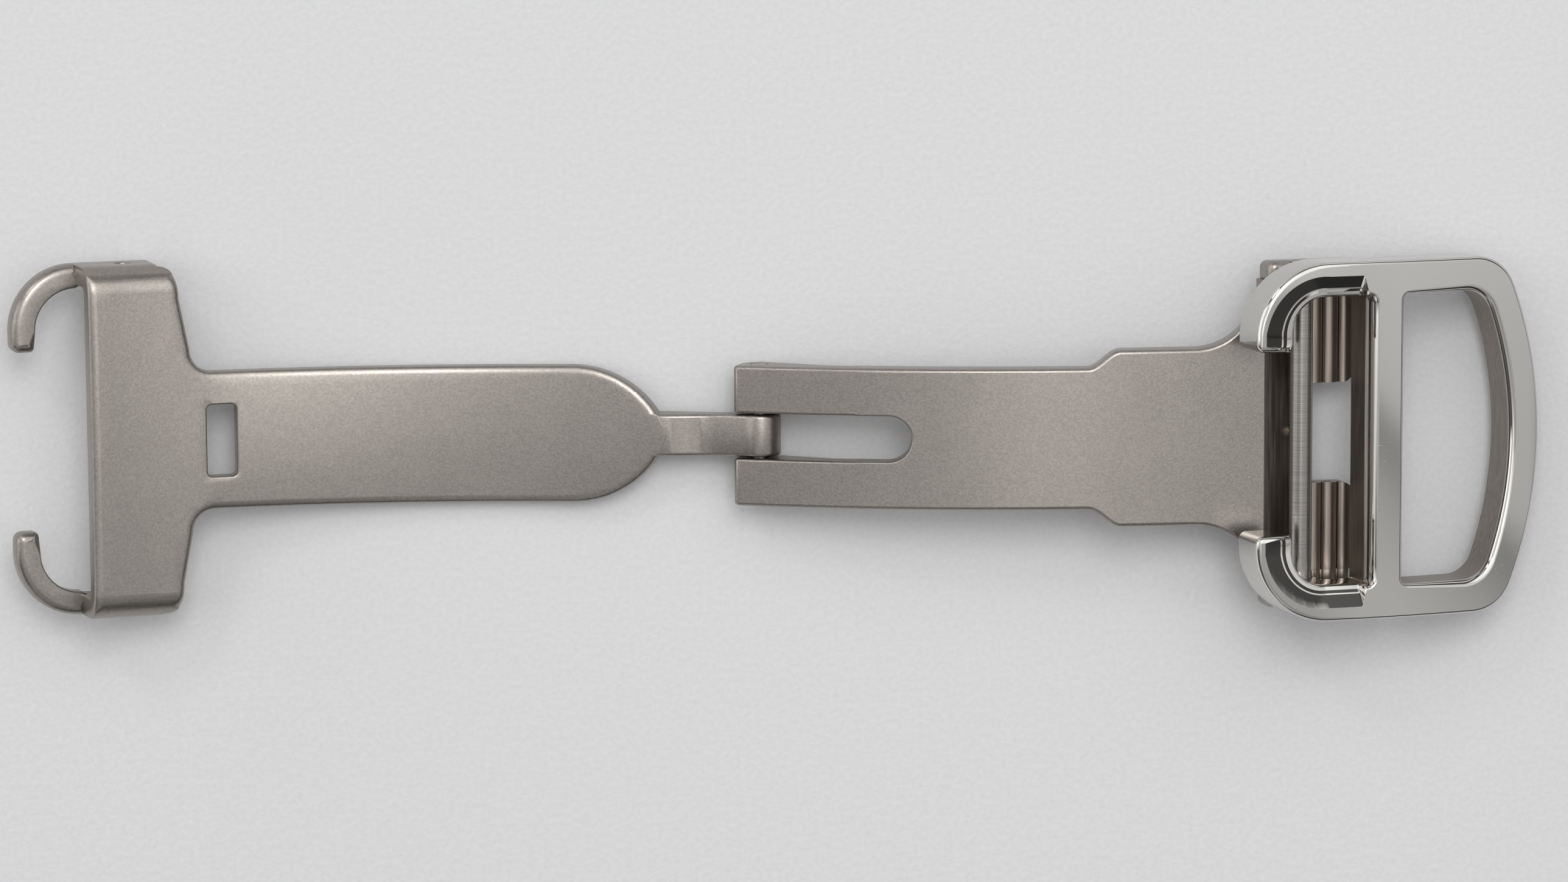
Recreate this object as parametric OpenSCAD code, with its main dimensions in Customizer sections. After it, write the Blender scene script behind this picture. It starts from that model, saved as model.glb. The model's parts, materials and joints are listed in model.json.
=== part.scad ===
// Single-fold deployant clasp for a watch strap, lying open.
// X runs along the clasp, Y across it and Z up; the origin is under the middle of the open clasp.
// The blades are drawn folded, as one stack of arcs round a single centre in front of the wrist,
// and the inner blade is then swung open about the hinge pin.

/* [Wrist curve] */
// Radius of the outer blade's outside face
curve_r = 60; // [54:1:70]
// Distance from the hinge pin to the crown of the curve, measured straight
crown_lead = 15.6; // [14.6:0.2:16.6]
// Distance from the hinge pin to the frame pin, measured straight
pin_span = 30.5; // [29:0.5:33]

/* [Outer blade] */
// Thickness of the outer blade
outer_t = 1.5; // [1.35:0.05:1.7]
// Width of the outer blade
outer_w = 8; // [7.4:0.1:9]
// Width of its root
root_w = 10; // [9.4:0.1:11]
// Distance from the hinge pin to the start of the root
root_start = 19; // [17.5:0.25:20.5]
// Length of the soft shoulder from blade to root
root_shoulder_l = 1.5; // [1:0.1:2]
// Radius of the concave flare from the root to the base
flare_r = 4; // [3:0.25:4.5]
// Distance from the hinge pin to the round end of the fork's slot
fork_slot_l = 8.55; // [7.8:0.05:10]

/* [Inner blade] */
// Thickness of the inner blade
inner_t = 1.2; // [1.05:0.05:1.35]
// Width of the inner blade
inner_w = 7.8; // [6.8:0.1:8.6]
// Gap between the blades when folded
fold_gap = 0.25; // [0.2:0.05:0.35]
// Width of the tongue
tongue_w = 2.4; // [2:0.1:2.8]
// Distance from the hinge pin to the tip of the pointed shoulder
tongue_l = 5.4; // [5:0.1:6]
// Radius of each side of the pointed shoulder
shoulder_r = 5.7; // [5.2:0.1:6.5]

/* [Hinge] */
// Diameter of the hinge pin
hinge_pin_d = 1; // [0.8:0.05:1.2]
// Outside diameter of the fork's eyes
eye_d = 2.5; // [2.3:0.05:2.7]
// Outside diameter of the tongue's knuckle
knuckle_d = 2.4; // [2.1:0.05:2.5]
// How far the knuckle stands proud of the tongue's wrist face
knuckle_proud = 0.06; // [0.03:0.01:0.15]
// Length of the ramp that thickens the fork towards its eyes
fork_ramp_l = 4.2; // [3:0.2:4.6]
// Gap on each side of the tongue in the fork
side_play = 0.1; // [0.05:0.01:0.2]
// Radial clearance of a pin that turns in its hole
pin_play = 0.03; // [0.02:0.005:0.06]

/* [Base and grips] */
// Width over the two ears that hold the frame pin
base_w = 20; // [19.4:0.1:20.8]
// Thickness of an ear
ear_t = 1.1; // [0.9:0.05:1.3]
// Outside radius of an ear round the frame pin
ear_r = 0.9; // [0.82:0.02:0.94]
// Thickness of the base's floor
floor_t = 0.85; // [0.7:0.05:0.95]
// Length of the base behind the frame pin
base_back_l = 2.5; // [2.3:0.05:2.8]
// Length of the floor in front of the frame pin
floor_front_l = 0.6; // [0.4:0.05:0.8]
// Length of the full-thickness web behind the floor
web_l = 0.5; // [0.4:0.05:0.7]
// Width of each side arm that carries a grip
side_arm_w = 2; // [1.6:0.1:2.2]
// Length of a grip along the clasp
grip_l = 2.85; // [2.4:0.05:3]
// Gap between the two grips
grip_gap = 5.7; // [5:0.1:6.6]
// Radius of a grip's free corner, away from the frame pin
grip_corner_r = 0.8; // [0.5:0.1:1]
// Height of a rib on the grips
rib_h = 0.3; // [0.2:0.05:0.35]
// Number of ribs on a grip
rib_count = 3; // [2:1:4]

/* [Catch] */
// Length of the slot in the inner blade
slot_l = 1.72; // [1.6:0.04:2]
// Width of the slot in the inner blade
slot_w = 4.1; // [3.6:0.1:4.6]
// Radius of the slot's corners
slot_corner_r = 0.3; // [0.2:0.05:0.5]
// Length of the tooth along the clasp
tooth_l = 0.9; // [0.7:0.05:1]
// Gap beside the tooth in the slot
tooth_gap = 0.25; // [0.15:0.05:0.4]
// How far the tooth's tip stays below the wrist face
tooth_shy = 0.05; // [0.02:0.01:0.1]
// Diameter of the tooth's tenon in the floor
tenon_d = 0.8; // [0.6:0.05:0.85]

/* [Buckle frame] */
// Diameter of the frame pin
frame_pin_d = 1.3; // [1.1:0.05:1.35]
// How far the frame's sides stand out past the ears
frame_over = 0.1; // [0:0.02:0.3]
// Thickness of the frame
frame_t = 2.7; // [2.3:0.1:3]
// Height of the frame's underside above the frame pin's axis
frame_rise = 1; // [0.98:0.01:1.1]
// Distance from the frame pin to the near side of the strap bar
bar_reach = 3.3; // [3.1:0.1:3.9]
// Width of the strap bar
bar_w = 1.65; // [1.4:0.05:1.9]
// Depth of the strap bar
bar_depth = 3; // [2.8:0.05:3.1]
// Length of the ring's opening
ring_open_l = 6.7; // [6:0.1:7.4]
// Width of the ring's opening
ring_open_w = 16.4; // [15.8:0.1:17]
// Width of the ring's rim at its end
rim_w = 1.85; // [1.5:0.05:2.2]
// Radius of the ring's rounded end
ring_end_r = 22; // [19:1:26]
// Radius of the ring's outer corners
ring_corner_r = 2.6; // [2.2:0.1:3]
// Radius of the ring opening's corners at its end
ring_open_corner_r = 1.7; // [1.4:0.1:2]
// Radius of the openings' corners at the strap bar
bar_corner_r = 0.35; // [0.2:0.05:0.5]
// Distance from the frame pin to the outside of the arms' tips
arm_reach = 3.8; // [3.6:0.1:4.1]
// Width of an arm at its tip
arm_w = 2.3; // [2:0.1:2.6]
// Outside radius of an arm's bend
arm_bend_r = 4.2; // [3.9:0.1:4.5]
// Gap between the arms' tips
arm_gap = 10.3; // [9.6:0.1:11]
// Width between the arms
arm_open_w = 16.2; // [15.8:0.1:16.3]
// Thickness of the lug under each arm
lug_t = 0.7; // [0.6:0.05:0.8]
// Gap between a lug and its ear
lug_gap = 0.1; // [0.05:0.01:0.2]

/* [Strap head] */
// How far the head's walls lie inside the ears' outsides
head_inset = 0; // [0:0.05:0.5]
// Length of the head along the curve
head_l = 4.7; // [4.4:0.1:5.2]
// Distance along the curve from the frame pin to the head's walls, folded
head_start = 3.5; // [3.4:0.05:3.8]
// Gap between the side arms and the head's walls, folded
head_gap = 0.35; // [0.3:0.05:0.5]
// Thickness of a wall
wall_t = 1.2; // [1:0.05:1.3]
// Outside radius of the bend from plate to wall
wall_bend_r = 1.5; // [1.1:0.1:1.8]
// Length of the head's slanted near edge
slant_l = 1; // [0.8:0.1:1.3]
// Fillet radius between blade and head
neck_r = 1.3; // [1:0.1:1.5]
// How far the slanted edge starts inside the bend
neck_inset = 0.15; // [0.1:0.05:0.3]
// Depth from the head's wrist face to the claws
claw_drop = 2.95; // [2.6:0.05:3.1]
// Thickness of a claw
claw_t = 1.2; // [1:0.05:1.3]
// Width of a claw
claw_w = 1.35; // [1.2:0.05:1.6]
// Outside radius of a claw's bend
claw_r = 3.7; // [3.4:0.1:3.9]
// Gap between the claws' tips
claw_gap = 10.2; // [9.6:0.1:11]
// Gap between the claws and the frame, folded
nest_gap = 0.3; // [0.25:0.05:0.4]
// Diameter of the hole for the strap's spring bar
bar_hole_d = 1; // [0.9:0.05:1.2]

/* [Hidden] */
$fn = 64;

// Widths that follow the base
frame_w = base_w + 2 * frame_over;
head_w = base_w - 2 * head_inset;

// Radii of the folded stack, from the centre of the curve
outer_in_r = curve_r - outer_t;
inner_out_r = outer_in_r - fold_gap;
inner_in_r = inner_out_r - inner_t;
hinge_r = curve_r - eye_d / 2;
tongue_in_r = hinge_r - knuckle_d / 2 + knuckle_proud;
claw_in_r = inner_in_r + claw_drop;
claw_out_r = claw_in_r + claw_t;
frame_in_r = claw_out_r + nest_gap;
frame_out_r = frame_in_r + frame_t;
pin_r = frame_in_r - frame_rise;
slot_r = (inner_in_r + inner_out_r) / 2;

// Height of the hinge pin above the centre of the curve
hinge_rise = sqrt(hinge_r * hinge_r - crown_lead * crown_lead);

// Angle from the crown to a plan distance from the hinge, at a radius
function turn(x, r) = asin((x - crown_lead) / r);
// Angle that a length along the curve spans at a radius
function span(l, r) = l / r * 180 / PI;
// Points along an arc
function arc(centre, r, from, to, steps = 12) = [
    for (i = [0 : steps]) let (a = from + (to - from) * i / steps) centre + r * [cos(a), sin(a)]
];
// The same outline on the other side of the clasp's middle, in reverse order
function mirrored(points) = [for (i = [len(points) - 1 : -1 : 0]) [points[i].x, -points[i].y]];

hinge_turn = turn(0, hinge_r);
pin_turn = turn(pin_span, pin_r);
slot_turn = turn(pin_span, slot_r);
head_near_turn = pin_turn + span(head_start, inner_out_r);
head_far_turn = head_near_turn + span(head_l, inner_in_r);
head_mid_turn = (head_near_turn + head_far_turn) / 2;
bar_far = bar_reach + bar_w;
frame_turn = pin_turn + span(bar_far, frame_out_r);

// The buckle frame's outline is laid out from the far side of the strap bar
ring_end = ring_open_l + rim_w;
tip_end = -arm_reach - bar_far;
arm_inner = tip_end + arm_w;
arm_inner_r = arm_bend_r - arm_w;

// Levels of the base, from the frame pin's axis
floor_top = -ear_r;
floor_bottom = floor_top - floor_t;
arm_end = head_start - head_gap;

// Angles at which the ear's slopes leave its round top
ear_front_angle = 40;
ear_back_angle = 122;
// Angle of the neck's fillet, short of a quarter so that it ends inside the blade's side
neck_sweep = 80;
// How far joined shapes run into each other, and the least that joins two faces
overlap = 0.5;
sliver = 0.01;
// How far a cut runs past a face, and lengths and angles past the whole clasp
margin = 1;
through = curve_r;
past_turn = 45;

// How far the open clasp reaches on each side of the hinge, and below it
function reach_out(u, r, a) = crown_lead + u * cos(a) + r * sin(a);
ring_reach = crown_lead + frame_out_r * sin(frame_turn + asin(ring_end / frame_out_r));
claw_reach = reach_out(claw_r, claw_out_r, head_far_turn);
belly_z = hinge_rise - inner_out_r;
wall_z = hinge_rise - claw_out_r * cos(head_near_turn);
ring_z = frame_in_r * cos(frame_turn + asin(ring_end / frame_in_r)) - hinge_rise;
hinge_x = (claw_reach - ring_reach) / 2;
hinge_z = -min(belly_z, wall_z, ring_z);

// Places the hinge pin's axis at its spot above the origin
module at_hinge() {
    translate([hinge_x, 0, hinge_z]) children();
}

// A frame on the curve: X along it, Z away from the wrist, at a radius
module station(a, r) {
    translate([crown_lead, 0, -hinge_rise]) rotate([0, a, 0]) translate([0, 0, r]) children();
}

// Sweeps a section, drawn as radius by width, along the curve between two angles
module sweep(from, to) {
    translate([crown_lead, 0, -hinge_rise])
        rotate([90, 0, 0]) rotate([0, 0, 90 - to]) rotate_extrude(angle = to - from, $fn = 256) children();
}

// A plain strip of the folded stack
module strip(from, to, r_in, r_out, w) {
    sweep(from, to) translate([r_in, -w / 2]) square([r_out - r_in, w]);
}

module box(from, to) {
    translate(from) cube(to - from);
}

module cross_pin(d, l) {
    rotate([90, 0, 0]) cylinder(d = d, h = l, center = true);
}

// A square with rounded corners, from one corner to the other
module rounded_rect(from, to, r) {
    translate([from.x, from.y + r]) square([to.x - from.x, to.y - from.y - 2 * r]);
    translate([from.x + r, from.y]) square([to.x - from.x - 2 * r, to.y - from.y]);
    for (x = [from.x + r, to.x - r], y = [from.y + r, to.y - r]) translate([x, y]) circle(r);
}

// Outer blade, seen from above: fork and blade, soft shoulder, root and flare
module outer_plan() {
    flare_x = turn_x(pin_turn, pin_r, -base_back_l) - flare_r;
    step = (root_w - outer_w) / 2;
    half = concat(
        [[0, outer_w / 2]],
        [for (i = [0 : 8]) [
            root_start + root_shoulder_l * i / 8,
            outer_w / 2 + step * (1 - cos(180 * i / 8)) / 2
        ]],
        arc([flare_x, root_w / 2 + flare_r], flare_r, -90, 0),
        [[flare_x + flare_r, base_w / 2], [through, base_w / 2]]
    );
    polygon(concat(half, mirrored(half)));
}

// Plan distance from the hinge of a point on a station's tangent
function turn_x(a, r, u) = crown_lead + r * sin(a) + u * cos(a);

module fork_eye() {
    rotate([0, hinge_turn, 0]) rotate([90, 0, 0]) linear_extrude(outer_w, center = true) {
        circle(d = eye_d);
        polygon([
            [0, -eye_d / 2], [fork_ramp_l, eye_d / 2 - outer_t - fork_ramp_l * fork_ramp_l / 2 / curve_r],
            [fork_ramp_l, eye_d / 2 - outer_t / 2], [0, eye_d / 2 - outer_t / 2]
        ]);
    }
}

module ear() {
    rotate([90, 0, 0]) linear_extrude(ear_t, center = true) {
        circle(ear_r);
        polygon([
            [-base_back_l, floor_bottom], [arm_end, floor_bottom], [arm_end, floor_top],
            ear_r * [cos(ear_front_angle), sin(ear_front_angle)],
            ear_r * [cos(ear_back_angle), sin(ear_back_angle)], [-base_back_l, -ear_r / 2]
        ]);
    }
}

module base_floor() {
    box([-base_back_l, -base_w / 2, floor_bottom], [floor_front_l, base_w / 2, floor_top]);
}

// Seat of the catch tooth: the middle of the slot, square to the swing of the inner blade
module at_catch() {
    slot_x = crown_lead + slot_r * sin(slot_turn);
    slot_z = slot_r * cos(slot_turn) - hinge_rise;
    translate([slot_x, 0, slot_z]) rotate([0, atan2(-slot_z, slot_x), 0]) children();
}

module tooth_tenon(d) {
    station(pin_turn, pin_r) translate([0, 0, floor_bottom - overlap]) cylinder(d = d, h = floor_t + overlap);
}

module outer_blade() {
    web_turn = pin_turn - span(base_back_l - web_l, curve_r);
    color("#8f8a84") at_hinge() difference() {
        union() {
            intersection() {
                strip(hinge_turn, web_turn, outer_in_r, curve_r, base_w);
                linear_extrude(through, center = true) outer_plan();
            }
            fork_eye();
            station(pin_turn, pin_r) {
                base_floor();
                for (s = [-1, 1]) {
                    translate([0, s * (base_w - ear_t) / 2, 0]) ear();
                    translate([0, s * (base_w - side_arm_w) / 2, 0])
                        box([0, -side_arm_w / 2, floor_bottom], [arm_end, side_arm_w / 2, floor_top]);
                }
            }
        }
        translate([-through, -tongue_w / 2 - side_play, -through / 2])
            cube([through + fork_slot_l - tongue_w / 2, tongue_w + 2 * side_play, through]);
        translate([fork_slot_l - tongue_w / 2 - side_play, 0, 0])
            cylinder(d = tongue_w + 2 * side_play, h = through, center = true);
        cross_pin(hinge_pin_d, outer_w + 2 * margin);
        station(pin_turn, pin_r) cross_pin(frame_pin_d, base_w + 2 * margin);
        tooth_tenon(tenon_d);
    }
}

// Folded inner blade, seen from above: a pointed shoulder that widens into the blade
module inner_plan() {
    wide_x = tongue_l + sqrt(pow(shoulder_r, 2) - pow(shoulder_r - inner_w / 2 + tongue_w / 2, 2));
    translate([wide_x, -inner_w / 2]) square([through, inner_w]);
    intersection() {
        translate([wide_x, shoulder_r - inner_w / 2]) circle(shoulder_r);
        translate([wide_x, inner_w / 2 - shoulder_r]) circle(shoulder_r);
        translate([0, -inner_w / 2]) square([wide_x + overlap, inner_w]);
    }
}

// Section of the head: a plate whose sides bend up into walls
module head_section() {
    difference() {
        union() {
            translate([inner_in_r, wall_bend_r - head_w / 2])
                square([claw_out_r - inner_in_r, head_w - 2 * wall_bend_r]);
            translate([inner_in_r + wall_bend_r, -head_w / 2])
                square([claw_out_r - inner_in_r - wall_bend_r, head_w]);
            for (s = [-1, 1])
                translate([inner_in_r + wall_bend_r, s * (head_w / 2 - wall_bend_r)]) circle(wall_bend_r);
        }
        translate([inner_out_r, wall_t - head_w / 2]) square([through, head_w - 2 * wall_t]);
    }
}

// The plate between blade and head: a slanted near edge and a fillet on each side
module neck_plan() {
    corner = head_w / 2 - wall_bend_r - neck_inset;
    foot = inner_w / 2 + neck_r;
    half = concat(
        [[overlap, corner], [0, corner]],
        arc([-slant_l - neck_r, foot], neck_r, 0, -neck_sweep, 8),
        [[-slant_l - neck_r, inner_w / 2 - overlap]]
    );
    polygon(concat(half, mirrored(half)));
}

module claw() {
    bend_y = head_w / 2 - claw_r;
    linear_extrude(claw_t) {
        intersection() {
            difference() {
                circle(claw_r);
                circle(claw_r - claw_w);
            }
            square(claw_r + margin);
        }
        translate([-overlap, claw_r - claw_w]) square([2 * overlap, claw_w]);
        translate([claw_r - claw_w, claw_gap / 2 - bend_y]) square([claw_w, bend_y - claw_gap / 2 + sliver]);
    }
}

module inner_blade() {
    color("#938e88") at_hinge() rotate([0, 180, 0]) difference() {
        union() {
            cross_pin(knuckle_d, tongue_w);
            strip(hinge_turn, turn(tongue_l + margin, slot_r), tongue_in_r, tongue_in_r + inner_t, tongue_w);
            intersection() {
                sweep(turn(tongue_l, slot_r), head_far_turn) head_section();
                union() {
                    linear_extrude(through, center = true) inner_plan();
                    station(head_near_turn, 0) linear_extrude(2 * curve_r) neck_plan();
                    station(head_near_turn, 0) box([0, -head_w, 0], [2 * head_l, head_w, 2 * curve_r]);
                }
            }
            station(head_far_turn, claw_in_r) for (m = [0, 1])
                mirror([0, m, 0]) translate([0, head_w / 2 - claw_r, 0]) claw();
        }
        cross_pin(hinge_pin_d + 2 * pin_play, tongue_w + 2 * margin);
        station(slot_turn, slot_r) linear_extrude(2 * inner_t, center = true)
            rounded_rect([-slot_l / 2, -slot_w / 2], [slot_l / 2, slot_w / 2], slot_corner_r);
        station(head_mid_turn, (inner_out_r + claw_out_r) / 2) cross_pin(bar_hole_d, head_w + 2 * margin);
    }
}

module hinge_pin() {
    color("#a08a78") at_hinge() cross_pin(hinge_pin_d, outer_w);
}

// Outline of the buckle frame without its openings
module frame_outer() {
    end_c = ring_end - ring_end_r;
    corner_y = frame_w / 2 - ring_corner_r;
    corner_x = end_c + sqrt(pow(ring_end_r - ring_corner_r, 2) - corner_y * corner_y);
    blend = atan2(corner_y, corner_x - end_c);
    half = concat(
        arc([end_c, 0], ring_end_r, 0, blend),
        arc([corner_x, corner_y], ring_corner_r, blend, 90),
        arc([tip_end + arm_bend_r, frame_w / 2 - arm_bend_r], arm_bend_r, 90, 180)
    );
    polygon(concat(half, mirrored(half)));
}

// The ring's opening, between the strap bar and the rounded end
module ring_opening() {
    end_c = ring_open_l - ring_end_r + rim_w;
    corner_y = ring_open_w / 2 - ring_open_corner_r;
    corner_x = end_c + sqrt(pow(ring_end_r - rim_w - ring_open_corner_r, 2) - corner_y * corner_y);
    blend = atan2(corner_y, corner_x - end_c);
    half = concat(
        arc([end_c, 0], ring_end_r - rim_w, 0, blend),
        arc([corner_x, corner_y], ring_open_corner_r, blend, 90, 6),
        arc([bar_corner_r, ring_open_w / 2 - bar_corner_r], bar_corner_r, 90, 180, 4)
    );
    polygon(concat(half, mirrored(half)));
}

// The opening between the arms, with the mouth between their tips
module arm_opening() {
    half = concat(
        arc([-bar_w - bar_corner_r, arm_open_w / 2 - bar_corner_r], bar_corner_r, 0, 90, 4),
        arc([arm_inner + arm_inner_r, arm_open_w / 2 - arm_inner_r], arm_inner_r, 90, 180),
        [[arm_inner, arm_gap / 2], [tip_end - margin, arm_gap / 2]]
    );
    polygon(concat(half, mirrored(half)));
}

module frame_lug() {
    rotate([90, 0, 0]) linear_extrude(lug_t, center = true) {
        circle(ear_r);
        translate([-ear_r, 0]) square([2 * ear_r, frame_rise + overlap]);
    }
}

module buckle_frame() {
    lug_y = base_w / 2 - ear_t - lug_gap - lug_t / 2;
    color("#c9c9cb") at_hinge() difference() {
        union() {
            intersection() {
                strip(hinge_turn, past_turn, frame_in_r, frame_out_r, frame_w);
                station(frame_turn, 0) linear_extrude(2 * curve_r) difference() {
                    frame_outer();
                    ring_opening();
                    arm_opening();
                }
            }
            station(frame_turn, frame_out_r)
                box([-bar_w, -arm_open_w / 2, -bar_depth], [0, arm_open_w / 2, -frame_t / 2]);
            for (s = [-1, 1]) station(pin_turn, pin_r) translate([0, s * lug_y, 0]) frame_lug();
        }
        station(pin_turn, pin_r) cross_pin(frame_pin_d + 2 * pin_play, frame_w);
    }
}

module frame_pin() {
    color("#b3a89c") at_hinge() station(pin_turn, pin_r) cross_pin(frame_pin_d, base_w);
}

// A ribbed pad from the side arm inwards; its ribs run across the clasp
module grip() {
    inner_y = grip_gap / 2;
    outer_y = base_w / 2 - side_arm_w;
    pitch = grip_l / rib_count;
    far_x = floor_front_l + grip_l;
    ribs = [for (i = [0 : rib_count - 1], p = [[0.5, rib_h], [1, 0]])
        [floor_front_l + pitch * (i + p.x), floor_top + p.y]];
    intersection() {
        translate([0, outer_y, 0]) rotate([90, 0, 0]) linear_extrude(outer_y - inner_y)
            polygon(concat(
                [[floor_front_l, floor_bottom], [floor_front_l, floor_top]], ribs, [[far_x, floor_bottom]]
            ));
        linear_extrude(through, center = true) polygon(concat(
            [[0, outer_y + margin], [0, inner_y - margin], [far_x - grip_corner_r, inner_y - margin]],
            arc([far_x - grip_corner_r, inner_y + grip_corner_r], grip_corner_r, -90, 0, 8),
            [[far_x, outer_y + margin]]
        ));
    }
}

module upper_grip() {
    color("#7d7167") at_hinge() station(pin_turn, pin_r) grip();
}

module lower_grip() {
    color("#7d7167") at_hinge() station(pin_turn, pin_r) mirror([0, 1, 0]) grip();
}

// The tooth that stands in the inner blade's slot when the clasp is folded
module catch_tooth() {
    tooth_w = slot_w - 2 * tooth_gap;
    tooth_root = inner_t / 2 + floor_t + outer_t;
    color("#9a948d") at_hinge() {
        difference() {
            at_catch() box(
                [-tooth_l / 2, -tooth_w / 2, tooth_shy - inner_t / 2],
                [tooth_l / 2, tooth_w / 2, tooth_root]
            );
            station(pin_turn, pin_r) box([-through, -through, floor_bottom], [through, through, through]);
        }
        tooth_tenon(tenon_d);
    }
}

outer_blade();
inner_blade();
hinge_pin();
buckle_frame();
frame_pin();
upper_grip();
lower_grip();
catch_tooth();
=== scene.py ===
import json
from collections import namedtuple
from math import asin, atan2, cos, degrees, hypot, pi, radians, sin, sqrt, tan
from types import SimpleNamespace

import bmesh
import bpy
from bpy.props import FloatProperty, FloatVectorProperty, IntProperty, PointerProperty
from mathutils import Matrix, Vector
from mathutils.geometry import tessellate_polygon


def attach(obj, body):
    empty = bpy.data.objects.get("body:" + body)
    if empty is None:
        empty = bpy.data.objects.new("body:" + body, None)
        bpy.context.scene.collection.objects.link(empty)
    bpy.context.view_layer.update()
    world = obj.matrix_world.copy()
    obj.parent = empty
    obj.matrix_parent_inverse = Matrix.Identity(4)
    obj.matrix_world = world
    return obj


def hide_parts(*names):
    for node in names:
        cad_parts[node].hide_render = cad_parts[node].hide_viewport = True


bl_info = {
    "name": "Deployant Clasp",
    "version": (1, 0, 0),
    "blender": (4, 5, 0),
    "location": "View3D > Sidebar > Clasp",
    "description": "Builds an open folding clasp for a watch strap around its packed frame",
    "category": "Add Mesh",
}

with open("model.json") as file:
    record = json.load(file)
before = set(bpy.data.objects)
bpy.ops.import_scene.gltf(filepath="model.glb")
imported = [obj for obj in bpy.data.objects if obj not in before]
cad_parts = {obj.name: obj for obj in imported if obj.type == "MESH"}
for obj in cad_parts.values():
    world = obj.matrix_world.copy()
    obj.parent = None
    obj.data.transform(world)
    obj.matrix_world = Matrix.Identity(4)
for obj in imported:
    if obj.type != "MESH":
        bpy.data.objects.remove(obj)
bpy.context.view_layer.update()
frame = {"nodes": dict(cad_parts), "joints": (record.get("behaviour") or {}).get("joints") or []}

MM = 0.001
JOINTS = {joint["name"]: Vector(joint["pos_m"]) for joint in frame["joints"]}
HINGE = JOINTS["fold_hinge"]
PIN = JOINTS["frame_hinge"]

# How far a shell stays inside the shell that it runs into, so that no two faces coincide, in millimetres
TUCK = 0.01
# Edge of a face that lies against another shell, in millimetres
SEAM_EDGE = 0.02
# Points of a loop that are closer than this are one
SAME = 1e-5
# Places of the finishes in the blade's and the frame's lists of materials
MILLED = 1
RIBBED = 2
# Tilt of the buckle frame at its bar as it lies
FRAME_TILT = radians(18.7)
# Lean from straight up that the arms' inner slope keeps all round its bend
SLOPE_LEAN = radians(38)
# Section of the arms' inner slope, from its foot to its crest: share of its width, fall in parts of what
# its full width would climb, and share of the drop of its round foot
SCOOP = (
    (0, 0.79, 1), (0.01, 0.79, 0.72), (0.025, 0.79, 0.48), (0.045, 0.79, 0.28), (0.065, 0.79, 0.13),
    (0.09, 0.79, 0.04), (0.12, 0.785, 0), (0.25, 0.74, 0), (0.38, 0.585, 0), (0.44, 0.555, 0),
    (0.62, 0.375, 0), (0.8, 0.195, 0), (1, 0, 0),
)

# A corner of a loop and how its upper edge is eased: the spot where the edge ends inwards, its drop and
# its scoop. The scoop is None for a quarter round. For the arms' slope it is how far the slope climbs per
# millimetre and its share, and the drop is that of its round foot.
Corner = namedtuple("Corner", "place spot drop scoop")


# Sizes and colours


def length(name, description, size):
    """A length property, given in millimetres."""
    return FloatProperty(
        name=name, description=description, default=size * MM, min=0.0, unit="LENGTH", precision=5
    )


def linear(code):
    """Linear colour of an sRGB hex value."""
    parts = [int(code[i:i + 2], 16) / 255 for i in (1, 3, 5)]
    return [c / 12.92 if c <= 0.04045 else ((c + 0.055) / 1.055) ** 2.4 for c in parts]


def colour(name, description, code):
    """A colour property, given as an sRGB hex value."""
    return FloatVectorProperty(
        name=name, description=description, default=linear(code), size=3, min=0.0, max=1.0, subtype="COLOR"
    )


def angle(name, description, turn):
    """An angle property, given in degrees."""
    return FloatProperty(name=name, description=description, default=radians(turn), subtype="ANGLE")


def millimetres(group):
    """The sizes of a property group, lengths in millimetres and counts as they are."""
    sizes = {}
    for prop in group.bl_rna.properties:
        if prop.type == "FLOAT" and prop.unit == "LENGTH":
            sizes[prop.identifier] = getattr(group, prop.identifier) / MM
        elif prop.type == "INT":
            sizes[prop.identifier] = getattr(group, prop.identifier)
    return SimpleNamespace(**sizes)


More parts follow.
